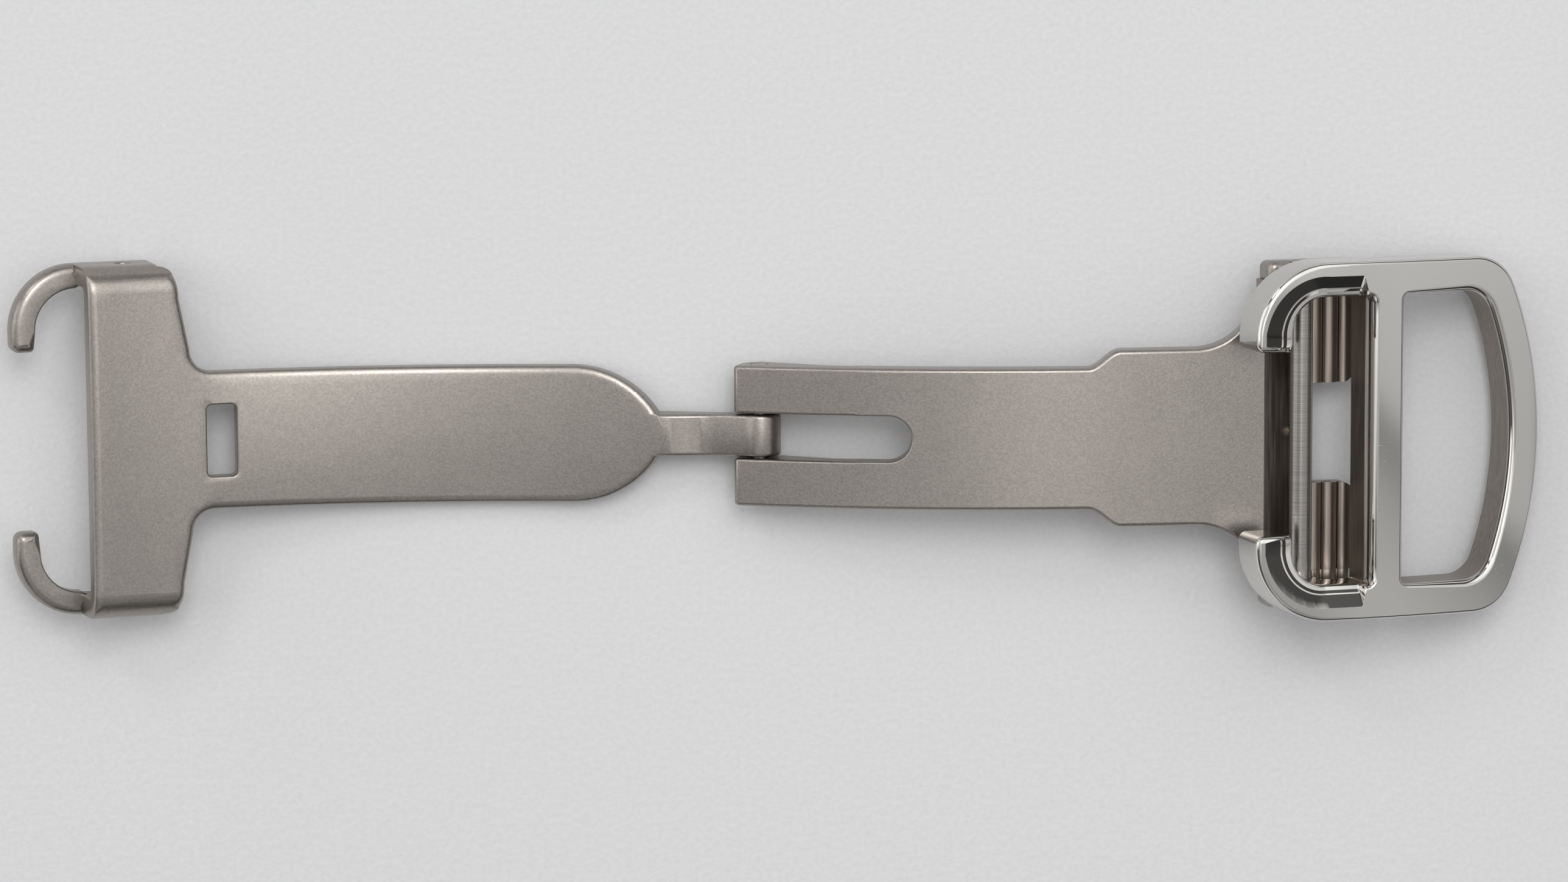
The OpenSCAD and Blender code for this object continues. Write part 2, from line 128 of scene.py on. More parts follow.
class BladeSizes(bpy.types.PropertyGroup):
    """Sizes of the two blades and the hinge between them"""

    curve_r: length("Wrist curve", "Radius of the outer blade's outside face", 60)
    crown_lead: length("Crown lead", "Distance from the hinge to the crown of the curve", 15.6)
    outer_t: length("Outer thickness", "Thickness of the outer blade", 1.5)
    outer_w: length("Outer width", "Width of the outer blade", 8)
    root_w: length("Root width", "Width of the outer blade's root", 10)
    root_start: length("Root start", "Distance from the hinge to the root", 18.4)
    root_shoulder_l: length("Root shoulder", "Length of the soft shoulder from blade to root", 1.9)
    flare_r: length("Flare radius", "Radius of the flare from root to base", 3.6)
    fork_slot_l: length("Fork slot", "Distance from the hinge to the end of the fork's slot", 8.55)
    fork_joint: length("Fork arm", "Distance from the hinge at which the fork's arms run into the blade", 5.4)
    fork_ramp_l: length("Fork ramp", "Length of the ramp that thickens the fork towards its eyes", 4.2)
    inner_t: length("Inner thickness", "Thickness of the inner blade", 1.2)
    inner_w: length("Inner width", "Width of the inner blade", 7.8)
    fold_gap: length("Fold gap", "Gap between the folded blades", 0.25)
    tongue_w: length("Tongue width", "Width of the tongue", 2.4)
    tongue_l: length("Tongue length", "Distance from the hinge to the pointed shoulder", 5.85)
    tongue_end: length("Tongue end", "Distance from the hinge to the tongue's end under the blade", 7)
    tongue_ramp_l: length("Tongue ramp", "Length over which the tongue's face rises to the blade's", 3.2)
    shoulder_r: length("Shoulder radius", "Radius of each side of the pointed shoulder", 5.7)
    hinge_pin_d: length("Hinge pin", "Diameter of the hinge pin", 1)
    eye_d: length("Eye", "Outside diameter of the fork's eyes", 2.5)
    knuckle_d: length("Knuckle", "Outside diameter of the tongue's knuckle", 2.4)
    knuckle_proud: length("Knuckle step", "How far the knuckle stands proud of the tongue", 0.06)
    side_play: length("Side play", "Gap on each side of the tongue in the fork", 0.1)
    pin_play: length("Pin play", "Radial clearance of a pin that turns in its hole", 0.03)
    slot_l: length("Slot length", "Length of the catch slot", 1.72)
    slot_w: length("Slot width", "Width of the catch slot", 4.1)
    slot_corner_r: length("Slot corners", "Radius of the catch slot's corners", 0.3)
    outer_edge: length("Outer blade edge", "Width of the broken edge of the outer blade", 0.22)
    inner_edge: length("Inner blade edge", "Width of the soft edge of the inner blade", 0.42)
    inner_crown: length("Inner blade crown", "Fall of the inner blade's face towards its edges", 0.1)
    slot_edge: length("Slot edge", "Width of the broken edge round the slots", 0.1)
    under_edge: length("Lower edge", "Radius of the edges on the underside", 0.12)


class BaseSizes(bpy.types.PropertyGroup):
    """Sizes of the outer blade's base with its ears, side arms and grips"""

    base_w: length("Base width", "Width over the two ears", 19.7)
    ear_t: length("Ear thickness", "Thickness of an ear", 1.1)
    ear_r: length("Ear radius", "Outside radius of an ear round the frame pin", 0.9)
    ear_edge: length("Ear edge", "Radius of an ear's soft edges", 0.4)
    ear_back_l: length("Ear length", "Length of an ear behind the frame pin", 1.88)
    floor_t: length("Floor thickness", "Thickness of the base's floor", 0.85)
    base_back_l: length("Base length", "Length of the base behind the frame pin", 2.5)
    floor_front_l: length("Floor front", "Length of the floor in front of the frame pin", 0.6)
    web_l: length("Web length", "Length of the thick web behind the floor", 0.5)
    side_arm_w: length("Side arm", "Width of each side arm that carries a grip", 2)
    side_arm_l: length("Side arm length", "Reach of the side arms in front of the frame pin", 3.15)
    grip_l: length("Grip length", "Length of a grip along the clasp", 2.85)
    grip_gap: length("Grip gap", "Gap between the two grips", 5.7)
    grip_corner_r: length("Grip corner", "Radius of a grip's free corner", 0.8)
    rib_h: length("Rib height", "Height of a rib on the grips", 0.3)
    rib_count: IntProperty(name="Ribs", description="Number of ribs on a grip", default=3, min=2, max=4)
    frame_pin_d: length("Frame pin", "Diameter of the frame pin", 1.3)


class BuckleSizes(bpy.types.PropertyGroup):
    """Sizes of the polished buckle frame"""

    frame_w: length("Frame width", "Width of the buckle frame", 20.2)
    frame_t: length("Frame thickness", "Thickness of the buckle frame", 2.7)
    frame_rise: length("Frame rise", "Height of the frame's underside above the pin's axis", 1)
    bar_reach: length("Bar reach", "Distance from the frame pin to the near side of the strap bar", 3.02)
    bar_w: length("Bar width", "Width of the strap bar", 1.8)
    bar_depth: length("Bar depth", "Depth of the strap bar", 3)
    bar_satin_h: length("Bar satin", "Height of the satin part of the strap bar", 2.1)
    bar_lip: length("Bar lip", "How far the bar's satin part stands out behind its polished part", 0.12)
    ring_open_l: length("Ring length", "Length of the ring's opening", 6.83)
    ring_open_w: length("Ring opening", "Width of the ring's opening", 16.4)
    rim_w: length("Rim", "Width of the ring's rim at its end", 1.85)
    ring_end_r: length("Ring end", "Radius of the ring's rounded end", 22)
    ring_corner_r: length("Ring corners", "Radius of the ring's outer corners", 2.6)
    ring_open_corner_r: length("Opening corners", "Radius of the ring opening's end corners", 1.7)
    bar_corner_r: length("Bar corners", "Radius of the openings' corners at the bar", 0.35)
    arm_reach: length("Arm reach", "Distance from the frame pin to the outside of the arms' tips", 3.8)
    arm_w: length("Arm width", "Width of an arm at its tip", 2.3)
    arm_bend_r: length("Arm bend", "Outside radius of an arm's bend", 4.2)
    arm_gap: length("Arm gap", "Gap between the arms' tips", 10.3)
    arm_open_w: length("Arm opening", "Width between the arms", 16.2)
    lug_t: length("Lug thickness", "Thickness of the lug under each arm", 0.54)
    lug_gap: length("Lug gap", "Gap between a lug and its ear", 0.1)
    bevel: length("Bevel", "Width of the frame's polished bevel", 0.22)
    crest_r: length("Crest", "Rounding of the crest along the outside of the arms", 0.3)
    inner_slope: length("Inner slope", "Width of the arms' hollowed inner slope at their tips", 1.82)
    mid_slope: length("Middle slope", "Width of the inner slope where an arm's bend ends", 1.22)
    bar_slope: length("Bar slope", "Width of the strap bar's rounded near edge", 0.3)
    bar_drop: length("Bar drop", "Drop of the strap bar's rounded near edge", 0.75)
    foot_h: length("Slope foot", "Height of the round foot under the arms' inner slope", 0.28)
    tip_edge: length("Tip edge", "Width of the rounded edge at the end of an arm's tip", 0.35)
    tip_corner_r: length("Tip corners", "Radius of the corners of an arm's tip", 0.45)


class HeadSizes(bpy.types.PropertyGroup):
    """Sizes of the strap head at the inner blade's end"""

    head_w: length("Head width", "Width of the strap head over its walls", 20)
    head_l: length("Head length", "Length of the strap head along the curve", 4.7)
    head_start: length("Head start", "Distance along the curve from the frame pin to the head, folded", 3.5)
    corner_r: length("Corner radius", "Radius of the corners where the head's near edge meets its walls", 1.0)
    wall_bend_r: length("Bend radius", "Outside radius of the bend from plate to wall", 1.5)
    plate_lead: length("Plate lead", "How far the head's plate reaches in front of its walls' line", 0.45)
    slant_l: length("Slant", "Length of the head's slanted near edge", 0.55)
    neck_r: length("Neck radius", "Fillet radius between blade and head", 1.3)
    claw_drop: length("Claw drop", "Depth from the head's wrist face to the claws", 2.95)
    claw_t: length("Claw thickness", "Thickness of a claw", 1.2)
    claw_w: length("Claw width", "Width of a claw", 1.35)
    claw_r: length("Claw radius", "Outside radius of a claw's bend", 3.7)
    claw_gap: length("Claw gap", "Gap between the claws' tips", 10.2)
    claw_round: length("Claw rounding", "Width of the rounded band along a claw's outside", 0.5)
    claw_tip_r: length("Claw tip", "Radius of the corners of a claw's tip", 0.5)
    end_edge: length("End edge", "Width of the sloped edge along the head's end", 0.5)
    bar_hole_d: length("Bar hole", "Diameter of the hole for the strap's spring bar", 1)


class FinishColours(bpy.types.PropertyGroup):
    """Colours of the metals and the paper"""

    satin: colour("Satin steel", "Bead-blasted steel of the blades", "#9B958F")
    polish: colour("Polished steel", "Mirror-polished steel of the buckle frame", "#CAC8C4")
    machined: colour("Machined steel", "Milled steel inside the buckle frame", "#968E86")
    turned: colour("Turned steel", "Turned steel of the pins", "#979491")
    # The grips' brownish, slightly dark tone is painted shade for their low place under the frame
    ribbed: colour("Grip steel", "Milled steel of the grips", "#9C9188")
    paper: colour("Paper", "Textured paper that the clasp lies on", "#D6D6D7")


class StudioSettings(bpy.types.PropertyGroup):
    """Place of the camera and strength of the light"""

    distance: length("Camera distance", "Distance from the camera to the middle of the view", 300)
    view_w: length("View width", "Width of the view at the hinge's level", 89)
    tilt: angle("Tilt", "Lean of the camera towards +Y from straight above", 7.6)
    roll: angle("Roll", "Turn of the camera about its view", 0.35)
    light: FloatProperty(
        name="Light", description="Strength of the soft light all round", default=1.36, min=0.0
    )


# Outlines, in millimetres


def spaced(start, end, steps):
    """Even steps from one value to another, with both."""
    return [start + (end - start) * i / steps for i in range(steps + 1)]


def smooth_share(value, low, high):
    """0 below low, 1 above high and a soft rise between."""
    t = min(1.0, max(0.0, (value - low) / (high - low)))
    return t * t * (3 - 2 * t)


def arc(centre, radius, start, end, steps=12):
    """Points along an arc, angles in degrees."""
    turns = [radians(turn) for turn in spaced(start, end, steps)]
    return [(centre[0] + radius * cos(t), centre[1] + radius * sin(t)) for t in turns]


def line(start, end, steps):
    """Points between two ends, without the ends."""
    shares = [i / steps for i in range(1, steps)]
    return [(start[0] + (end[0] - start[0]) * t, start[1] + (end[1] - start[1]) * t) for t in shares]


def distinct(points):
    """The points of a closed loop without repeated neighbours."""
    return [p for i, p in enumerate(points) if hypot(p[0] - points[i - 1][0], p[1] - points[i - 1][1]) > SAME]


def signed_area(points):
    """Area in a loop, below zero where it runs clockwise."""
    return sum(a[0] * b[1] - b[0] * a[1] for a, b in zip(points, points[1:] + points[:1])) / 2


def outside(points):
    """A loop round material, anticlockwise, so that the material is on its left."""
    points = distinct(points)
    return points if signed_area(points) > 0 else points[::-1]


def hole(points):
    """A loop round a hole, clockwise, so that the material is on its left."""
    return outside(points)[::-1]


def mirrored(half):
    """A half outline from the middle line round to it again, and its mirror image."""
    return half + [(x, -y) for x, y in reversed(half)]


def directions(loop):
    """For each corner of a loop, the step that moves both of its edges one unit into the material."""
    steps = []
    for i, p in enumerate(loop):
        before, after = Vector(p) - Vector(loop[i - 1]), Vector(loop[(i + 1) % len(loop)]) - Vector(p)
        n1, n2 = Vector((-before.y, before.x)).normalized(), Vector((-after.y, after.x)).normalized()
        steps.append((n1 + n2) / max(1 + n1.dot(n2), 0.4))
    return steps


def edged(loop, width, drop=None, ends=()):
    """A loop's corners with a quarter round along their upper edge.

    width is a number or a function of the corner. drop is a function of the corner, and is the width where
    none is given. The corners on the lines x = end keep their x."""
    rows = []
    for p, step in zip(loop, directions(loop)):
        w = width(p) if callable(width) else width
        if any(abs(p[0] - end) < 1e-4 for end in ends):
            step = Vector((0.0, step.y))
        rows.append(Corner(p, (p[0] + step.x * w, p[1] + step.y * w), drop(p) if drop else w, None))
    return rows


def pin_hole(diameter, play, edge):
    """The edged hole for a pin."""
    return edged(hole(arc((0, 0), diameter / 2 + play, 0, 350, 35)), edge)


# Closed shells, in millimetres


def slab(loops, low, high, foot, steps=4, material=0, hole_wall=0):
    """A closed plate between two levels, from edged loops: the outline first and then the holes.

    foot is the radius of the lower edges. The upright faces of the holes take the material slot hole_wall."""
    bm = bmesh.new()
    lower, upper = [], []
    turns = spaced(0, pi / 2, steps)
    for number, rows in enumerate(loops):
        rings = foot_rings(rows, low, foot, turns)
        for turn, section in zip(turns, SCOOP):
            rings.append([
                (*edge_spot(row, turn, section), high - edge_fall(row, turn, section)) for row in rows
            ])
        grid = [ring_verts(bm, ring) for ring in rings]
        for j in range(len(grid) - 1):
            paint = hole_wall if number and j == steps else material
            for i in range(len(rows)):
                k = (i + 1) % len(rows)
                add_face(bm, [grid[j][i], grid[j][k], grid[j + 1][k], grid[j + 1][i]], paint)
        lower.append(distinct_verts(grid[0]))
        upper.append(distinct_verts(grid[-1]))
    for rings in (lower, upper):
        flat = [v for ring in rings for v in ring]
        for triangle in tessellate_polygon([[Vector((v.co.x, v.co.y, 0)) for v in ring] for ring in rings]):
            add_face(bm, [flat[i] for i in triangle], material)
    return bm


def foot_rings(rows, low, foot, turns):
    """The rings of a plate's rounded lower edge, from the bottom up."""
    corners = [row.place for row in rows]
    feet = [Vector(p) + step * foot for p, step in zip(corners, directions(corners))]
    for row, inner in zip(rows, feet):
        if abs(row.spot[0] - row.place[0]) < 1e-7 and row.drop > 0:
            inner.x = row.place[0]
    rings = []
    for turn in turns:
        share, z = 1 - sin(turn), low + foot * (1 - cos(turn))
        rings.append([(*Vector(p).lerp(q, share), z) for p, q in zip(corners, feet)])
    return rings


def edge_spot(row, turn, section):
    """Plan place of an eased edge at a turn of its quarter round, or on the section of its scoop."""
    share = 1 - cos(turn)
    if row.scoop:
        share += (section[0] - share) * row.scoop[1]
    return Vector(row.place).lerp(Vector(row.spot), share)


def edge_fall(row, turn, section):
    """How far an eased edge lies under the plate's face there."""
    fall = row.drop * (1 - sin(turn))
    if row.scoop:
        climb, blend = row.scoop
        across, depth, foot_share = section
        climb *= (Vector(row.spot) - Vector(row.place)).length
        fall += (climb * depth + row.drop * foot_share - fall) * blend
    return fall


def ring_verts(bm, points):
    """One vertex for each point of a ring; neighbours at the same place share one."""
    verts = []
    for p in points:
        same = verts and (verts[-1].co - Vector(p)).length < 1e-6
        verts.append(verts[-1] if same else bm.verts.new(p))
    if (verts[0].co - verts[-1].co).length < 1e-6 and verts[0] is not verts[-1]:
        last = verts[-1]
        verts = [verts[0] if v is last else v for v in verts]
        bm.verts.remove(last)
    return verts


def distinct_verts(verts):
    """The vertices of a ring without repeated neighbours."""
    kept = []
    for v in verts:
        if v not in kept[-1:] and v is not (kept or [None])[0]:
            kept.append(v)
    return kept


def add_face(bm, verts, material=0):
    """A face over the vertices that differ, where there are three or more."""
    corners = []
    for v in verts:
        if v not in corners:
            corners.append(v)
    if len(corners) > 2 and not bm.faces.get(corners):
        bm.faces.new(corners).material_index = material


def sliced(bm, axis, start, end, step):
    """Cuts a shell across an axis at even steps, so that it can bend."""
    normal = Vector((axis == 0, axis == 1, axis == 2))
    for place in spaced(start, end, max(1, round((end - start) / step))):
        geometry = bm.verts[:] + bm.edges[:] + bm.faces[:]
        bmesh.ops.bisect_plane(bm, geom=geometry, dist=SAME, plane_co=normal * place, plane_no=normal)


def placed(bm, place):
    """Moves each vertex of a shell to its spot in the row frame and turns the faces outwards."""
    for v in bm.verts:
        v.co = place(*v.co)
    bmesh.ops.recalc_face_normals(bm, faces=bm.faces[:])
    return bm


def turned(profile, segments=96):
    """A closed solid of revolution about Y, from the distances along Y and the radii of its profile."""
    bm = bmesh.new()
    rings = []
    for y, radius in profile:
        if radius < 1e-6:
            rings.append([bm.verts.new((0, y, 0))] * segments)
        else:
            turns = [2 * pi * i / segments for i in range(segments)]
            rings.append([bm.verts.new((radius * cos(t), y, radius * sin(t))) for t in turns])
    for a, b in zip(rings, rings[1:]):
        for i in range(segments):
            k = (i + 1) % segments
            add_face(bm, [a[i], a[k], b[k], b[i]])
    return bm


class Stack:
    """The folded stack of arcs that both halves are drawn on, from the two joints and the blade sizes."""

    def __init__(self, blades):
        self.lead = blades.crown_lead
        self.hinge_r = blades.curve_r - blades.eye_d / 2
        self.rise = sqrt(self.hinge_r ** 2 - self.lead ** 2)
        self.hinge_turn = -asin(self.lead / self.hinge_r)
        pin = (PIN - HINGE) / MM
        self.pin_r = hypot(pin.x - self.lead, pin.z + self.rise)
        self.pin_turn = atan2(pin.x - self.lead, pin.z + self.rise)
        self.outer_in_r = blades.curve_r - blades.outer_t
        self.inner_out_r = self.outer_in_r - blades.fold_gap
        self.inner_in_r = self.inner_out_r - blades.inner_t
        self.slot_r = (self.inner_in_r + self.inner_out_r) / 2
        self.slot_turn = asin((pin.x - self.lead) / self.slot_r)

    def along(self, x):
        """Distance along the inner blade's inside face of a plan distance from the hinge."""
        return self.inner_in_r * asin((x - self.lead) / self.inner_in_r)

    def level(self, radius, u):
        """Height over the hinge of an arc about the stack's centre, at a distance u beside the hinge."""
        return sqrt(radius ** 2 - u * u) - self.hinge_r

    def head_turns(self, head):
        """Angles of the near and the far end of the strap head."""
        near = self.pin_turn + (head.head_start - head.plate_lead) / self.inner_out_r
        return near, near + (head.head_l + head.plate_lead) / self.inner_in_r

    def folded(self, turn, u, w):
        """Place beside the hinge of a point at an angle: u along its station, w away from the centre."""
        x = self.lead + u * cos(turn) + w * sin(turn)
        z = -self.rise - u * sin(turn) + w * cos(turn)
        return x, z

    def outer(self, turn, u, y, w):
        """Place in the row frame of a point of the outer half."""
        x, z = self.folded(turn, u, w)
        return HINGE + Vector((x, y, z)) * MM

    def inner(self, turn, u, y, w):
        """Place in the row frame of a point of the inner half, which lies swung open by half a turn."""
        x, z = self.folded(turn, u, w)
        return HINGE + Vector((-x, y, -z)) * MM

    def beside_hinge(self, side):
        """What places a profile of the outer half that is drawn round the hinge, on one side of the clasp."""
        return lambda u, w, y: self.outer(self.hinge_turn, u, side * y, self.hinge_r + w)

    def beside_pin(self, side=1):
        """What places a profile that is drawn round the frame pin, on one side of the clasp."""
        return lambda u, w, y: self.outer(self.pin_turn, u, side * y, self.pin_r + w)


# Pieces


def linked(name, data):
    """An object of some data, in the scene."""
    made = bpy.data.objects.new(name, data)
    bpy.context.scene.collection.objects.link(made)
    return made


def make_piece(name, shells, finishes, body, node, axis=None, crease=31):
    """One smooth mesh of closed shells that rides on a body in place of its node."""
    verts, faces, indices = [], [], []
    for bm in shells:
        bm.verts.index_update()
        offset = len(verts)
        verts.extend(v.co.copy() for v in bm.verts)
        faces.extend([offset + v.index for v in f.verts] for f in bm.faces)
        indices.extend(f.material_index for f in bm.faces)
        bm.free()
    mesh = bpy.data.meshes.new(name)
    mesh.from_pydata(verts, [], faces)
    mesh.polygons.foreach_set("material_index", indices)
    mesh.polygons.foreach_set("use_smooth", [True] * len(faces))
    for name_of_finish in finishes:
        mesh.materials.append(finish(name_of_finish))
    piece = linked(name, mesh)
    flatten_normals(piece, axis, crease)
    stand_in(piece, body, node)


def stand_in(piece, body, node):
    """Lets a finished piece ride on its body in place of its node."""
    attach(piece, body)
    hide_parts(node)


def settle(piece):
    """Gives a piece the mesh that its modifiers make, in place of them."""
    evaluated = piece.evaluated_get(bpy.context.evaluated_depsgraph_get())
    mesh = bpy.data.meshes.new_from_object(evaluated)
    piece.modifiers.clear()
    old = piece.data
    piece.data = mesh
    bpy.data.meshes.remove(old)
    mesh.name = piece.name


def flatten_normals(piece, axis=None, crease=31):
    """Gives a smooth piece normals that follow its large faces, and keeps creases above an angle sharp.

    axis is the line of centres that the piece's blade curves round: faces on it take that curve's normals."""
    piece.data.set_sharp_from_angle(angle=radians(crease))
    modifier = piece.modifiers.new("Normals", "WEIGHTED_NORMAL")
    modifier.weight = 80
    modifier.keep_sharp = True
    settle(piece)
    if axis:
        follow_curve(piece.data, axis)


def follow_curve(mesh, axis):
    """Turns the normals of every face that lies on a curve round an axis along Y to that curve."""
    reach = [hypot(v.co.x - axis.x, v.co.z - axis.z) for v in mesh.vertices]
    normals = [corner.vector.copy() for corner in mesh.corner_normals]
    for face in mesh.polygons:
        radii = [reach[i] for i in face.vertices]
        way = Vector((face.center.x - axis.x, 0, face.center.z - axis.z)).normalized()
        if max(radii) - min(radii) > 2e-6 or abs(face.normal.dot(way)) < 0.99:
            continue
        side = 1 if face.normal.dot(way) > 0 else -1
        for loop in face.loop_indices:
            co = mesh.vertices[mesh.loops[loop].vertex_index].co
            normals[loop] = side * Vector((co.x - axis.x, 0, co.z - axis.z)).normalized()
    mesh.normals_split_custom_set(normals)


def fork_arm(stack, blades, side):
    """One arm of the fork: its eye round the hinge pin, the ramp under it and its run into the blade."""
    eye_r, nose_r = blades.eye_d / 2, 0.3
    reach = blades.fork_joint + 1
    top = [(u, stack.level(blades.curve_r, u) - TUCK) for u in spaced(0, reach, 12)[:0:-1]]
    under = [(u, stack.level(stack.outer_in_r, u) + TUCK) for u in spaced(blades.fork_ramp_l, reach, 8)]
    nose = arc((-eye_r + nose_r + TUCK, eye_r - nose_r - 0.06), nose_r, 75, 180, 10)
    profile = outside(top + nose + arc((0, 0), eye_r - TUCK, 180, 270, 14) + under)
    loops = [edged(profile, 0.2), pin_hole(blades.hinge_pin_d, TUCK, 0.04)]
    low, high = blades.tongue_w / 2 + blades.side_play + TUCK, blades.outer_w / 2 - TUCK
    return placed(slab(loops, low, high, 0.14), stack.beside_hinge(side))


def outer_plate(stack, blades, base):
    """The outer blade's plate with the round end of its slot, its soft shoulders and its flare."""
    half_w, lead = blades.outer_w / 2, stack.lead
    slot_half = blades.tongue_w / 2 + blades.side_play
    half = arc((blades.fork_slot_l - slot_half, 0), slot_half, 0, 90, 16)
    half += [(blades.fork_joint, slot_half), (blades.fork_joint, half_w)]
    widening = (blades.root_w - blades.outer_w) / 2
    for i in range(13):
        x = blades.root_start + blades.root_shoulder_l * i / 12
        half.append((x, half_w + widening * (1 - cos(pi * i / 12)) / 2))
    flare_x = stack.folded(stack.pin_turn, -base.base_back_l, stack.pin_r)[0] - blades.flare_r
    flare_end = base.base_w / 2 - base.ear_t - 0.3
    flare = arc((flare_x, blades.root_w / 2 + blades.flare_r), blades.flare_r, -90, 0, 24)
    half += [p for p in flare if p[1] < flare_end]
    web_x = lead + blades.curve_r * sin(stack.pin_turn - (base.base_back_l - base.web_l) / blades.curve_r)
    half += [(web_x - 0.1, flare_end), (web_x, flare_end + 0.1), (web_x, 0)]

    def width(p):
        in_slot = abs(p[1]) < slot_half + 0.01 and p[0] < blades.fork_slot_l + 0.01
        return blades.slot_edge if in_slot else blades.outer_edge

    rows = edged(outside(mirrored(half)), width, ends=(blades.fork_joint, web_x))
    bm = slab([rows], stack.outer_in_r, blades.curve_r, blades.under_edge)
    sliced(bm, 0, blades.fork_joint + 0.5, web_x - 0.5, 1.0)
    return placed(bm, lambda x, y, r: stack.outer(0, x - lead, y, sqrt(r * r - (x - lead) ** 2)))


def floor_ramp(stack, base):
    """The base's floor, hollowed by a cutter that ran across it behind the frame pin."""
    back, low = -base.base_back_l + base.web_l, -base.ear_r - base.floor_t
    edge, lap = 0.03, 0.08
    hollow = [(0, -0.57), (0.4, -0.76), (0.8, -0.94), (1.2, -1.1), (1.6, -1.235)]
    profile = [(back - lap, low), (base.floor_front_l, low), (base.floor_front_l, -1.27)]
    profile += [(back + u, w) for u, w in reversed(hollow)] + [(back - lap, -0.6)]
    half_w = base.base_w / 2 - base.ear_t + 0.04
    bm = slab([edged(outside(profile), edge)], -half_w, half_w, edge, material=MILLED)
    return placed(bm, stack.beside_pin())


def side_arm(stack, base, side):
    """The arm along an ear that carries a grip, with the grip's ribs cut across it too."""
    low, high = -base.ear_r - base.floor_t + 2 * TUCK, -base.ear_r - TUCK
    start, end = 0.2, base.side_arm_l - TUCK
    pitch = base.grip_l / base.rib_count
    profile = [(start, low), (end, low)]
    for u in spaced(end, base.ear_r + 0.05, 60):
        across = 2 * ((u - base.floor_front_l) / pitch % 1) - 1
        profile.append((u, high + (base.rib_h - TUCK) * sqrt(max(0.0, 1 - across * across))))
    profile += [(base.ear_r + 0.04, high), (start, high)]
    inner_y, outer_y = base.base_w / 2 - base.side_arm_w, base.base_w / 2 - base.ear_t + 0.3
    bm = slab([edged(outside(profile), SEAM_EDGE)], inner_y, outer_y, SEAM_EDGE, material=RIBBED)
    return placed(bm, stack.beside_pin(side))


def ear(stack, base, side):
    """An upright ear that holds an end of the frame pin."""
    top, bottom = -base.ear_r, -base.ear_r - base.floor_t
    back_r = 0.5
    profile = [(-base.ear_back_l, bottom), (base.side_arm_l, bottom), (base.side_arm_l, top)]
    profile += arc((0, 0), base.ear_r, 40, 122, 16)
    profile += arc((-base.ear_back_l + back_r, -base.ear_r / 2 - 0.35), back_r, 80, 180, 8)
    loops = [edged(outside(profile), base.ear_edge), pin_hole(base.frame_pin_d, TUCK, 0.05)]
    outer_y = base.base_w / 2
    return placed(slab(loops, outer_y - base.ear_t, outer_y, 0.12), stack.beside_pin(side))


def knuckle_and_tongue(stack, blades):
    """The tongue with the knuckle that turns on the hinge pin."""
    knuckle_r, edge = blades.knuckle_d / 2, 0.22
    face_r = stack.hinge_r - knuckle_r + blades.knuckle_proud
    back_r = face_r + blades.inner_t
    start = sqrt(knuckle_r ** 2 - (stack.hinge_r - face_r) ** 2)
    lower = degrees(atan2(face_r - stack.hinge_r, start))
    along = spaced(start, blades.tongue_end, 28)[:0:-1]
    ramp_top = blades.tongue_l - 0.35

    def rise(u):
        """How far the tongue's face has risen towards the blade's."""
        full = face_r - stack.inner_in_r - TUCK
        return full * smooth_share(u, ramp_top - blades.tongue_ramp_l, ramp_top)

    profile = [(u, stack.level(face_r - rise(u), u)) for u in along]
    profile += arc((0, 0), knuckle_r, lower, lower - 284, 40)
    profile += [(u, stack.level(back_r, u)) for u in reversed(along) if u > knuckle_r]
    loops = [edged(outside(profile), edge), pin_hole(blades.hinge_pin_d, blades.pin_play, 0.05)]
    bm = slab(loops, -blades.tongue_w / 2, blades.tongue_w / 2, edge)
    return placed(bm, lambda u, w, y: stack.inner(stack.hinge_turn, u, y, stack.hinge_r + w))


def inner_outline(stack, blades, head, near, far, bend_y, edge_v):
    """Outline of the inner blade and its head laid flat: pointed shoulder, neck, rounded corner and wall."""
    side_offset = blades.shoulder_r - blades.inner_w / 2
    wide_x = blades.tongue_l + sqrt(blades.shoulder_r ** 2 - (side_offset + blades.tongue_w / 2) ** 2)
    tip = degrees(asin(side_offset / blades.shoulder_r))
    point = arc((wide_x, -side_offset), blades.shoulder_r, 180 - tip, 90, 28)
    half = [(stack.along(x), y) for x, y in point]
    neck = (near - head.slant_l - head.neck_r, blades.inner_w / 2 + head.neck_r)
    half += arc(neck, head.neck_r, -88, 0, 14)
    corner_v, corner_l = bend_y - 0.4, 2.3 * head.corner_r
    for t in spaced(0, pi / 2, 16):
        half.append((near + head.corner_r * (1 - cos(t)), corner_v + corner_l * sin(t)))
    wall_near = near + head.corner_r
    half += line((wall_near, half[-1][1]), (wall_near, edge_v), 6) + [(wall_near, edge_v), (far, edge_v)]
    half += line((far, edge_v), (far, bend_y), 8) + [(far, bend_y), (far, 0)]
    return outside(mirrored(half))


def catch_slot(stack, blades):
    """The slot that snaps over the catch tooth, laid flat."""
    r, c = stack.inner_in_r, blades.slot_corner_r
    middle = stack.slot_turn * r
    half_l, half_w = blades.slot_l / 2 * r / stack.slot_r, blades.slot_w / 2
    points = []
    for sx, sy, start in ((1, 1, 0), (-1, 1, 90), (-1, -1, 180), (1, -1, 270)):
        points += arc((middle + sx * (half_l - c), sy * (half_w - c)), c, start, start + 90, 6)
    return hole(points)


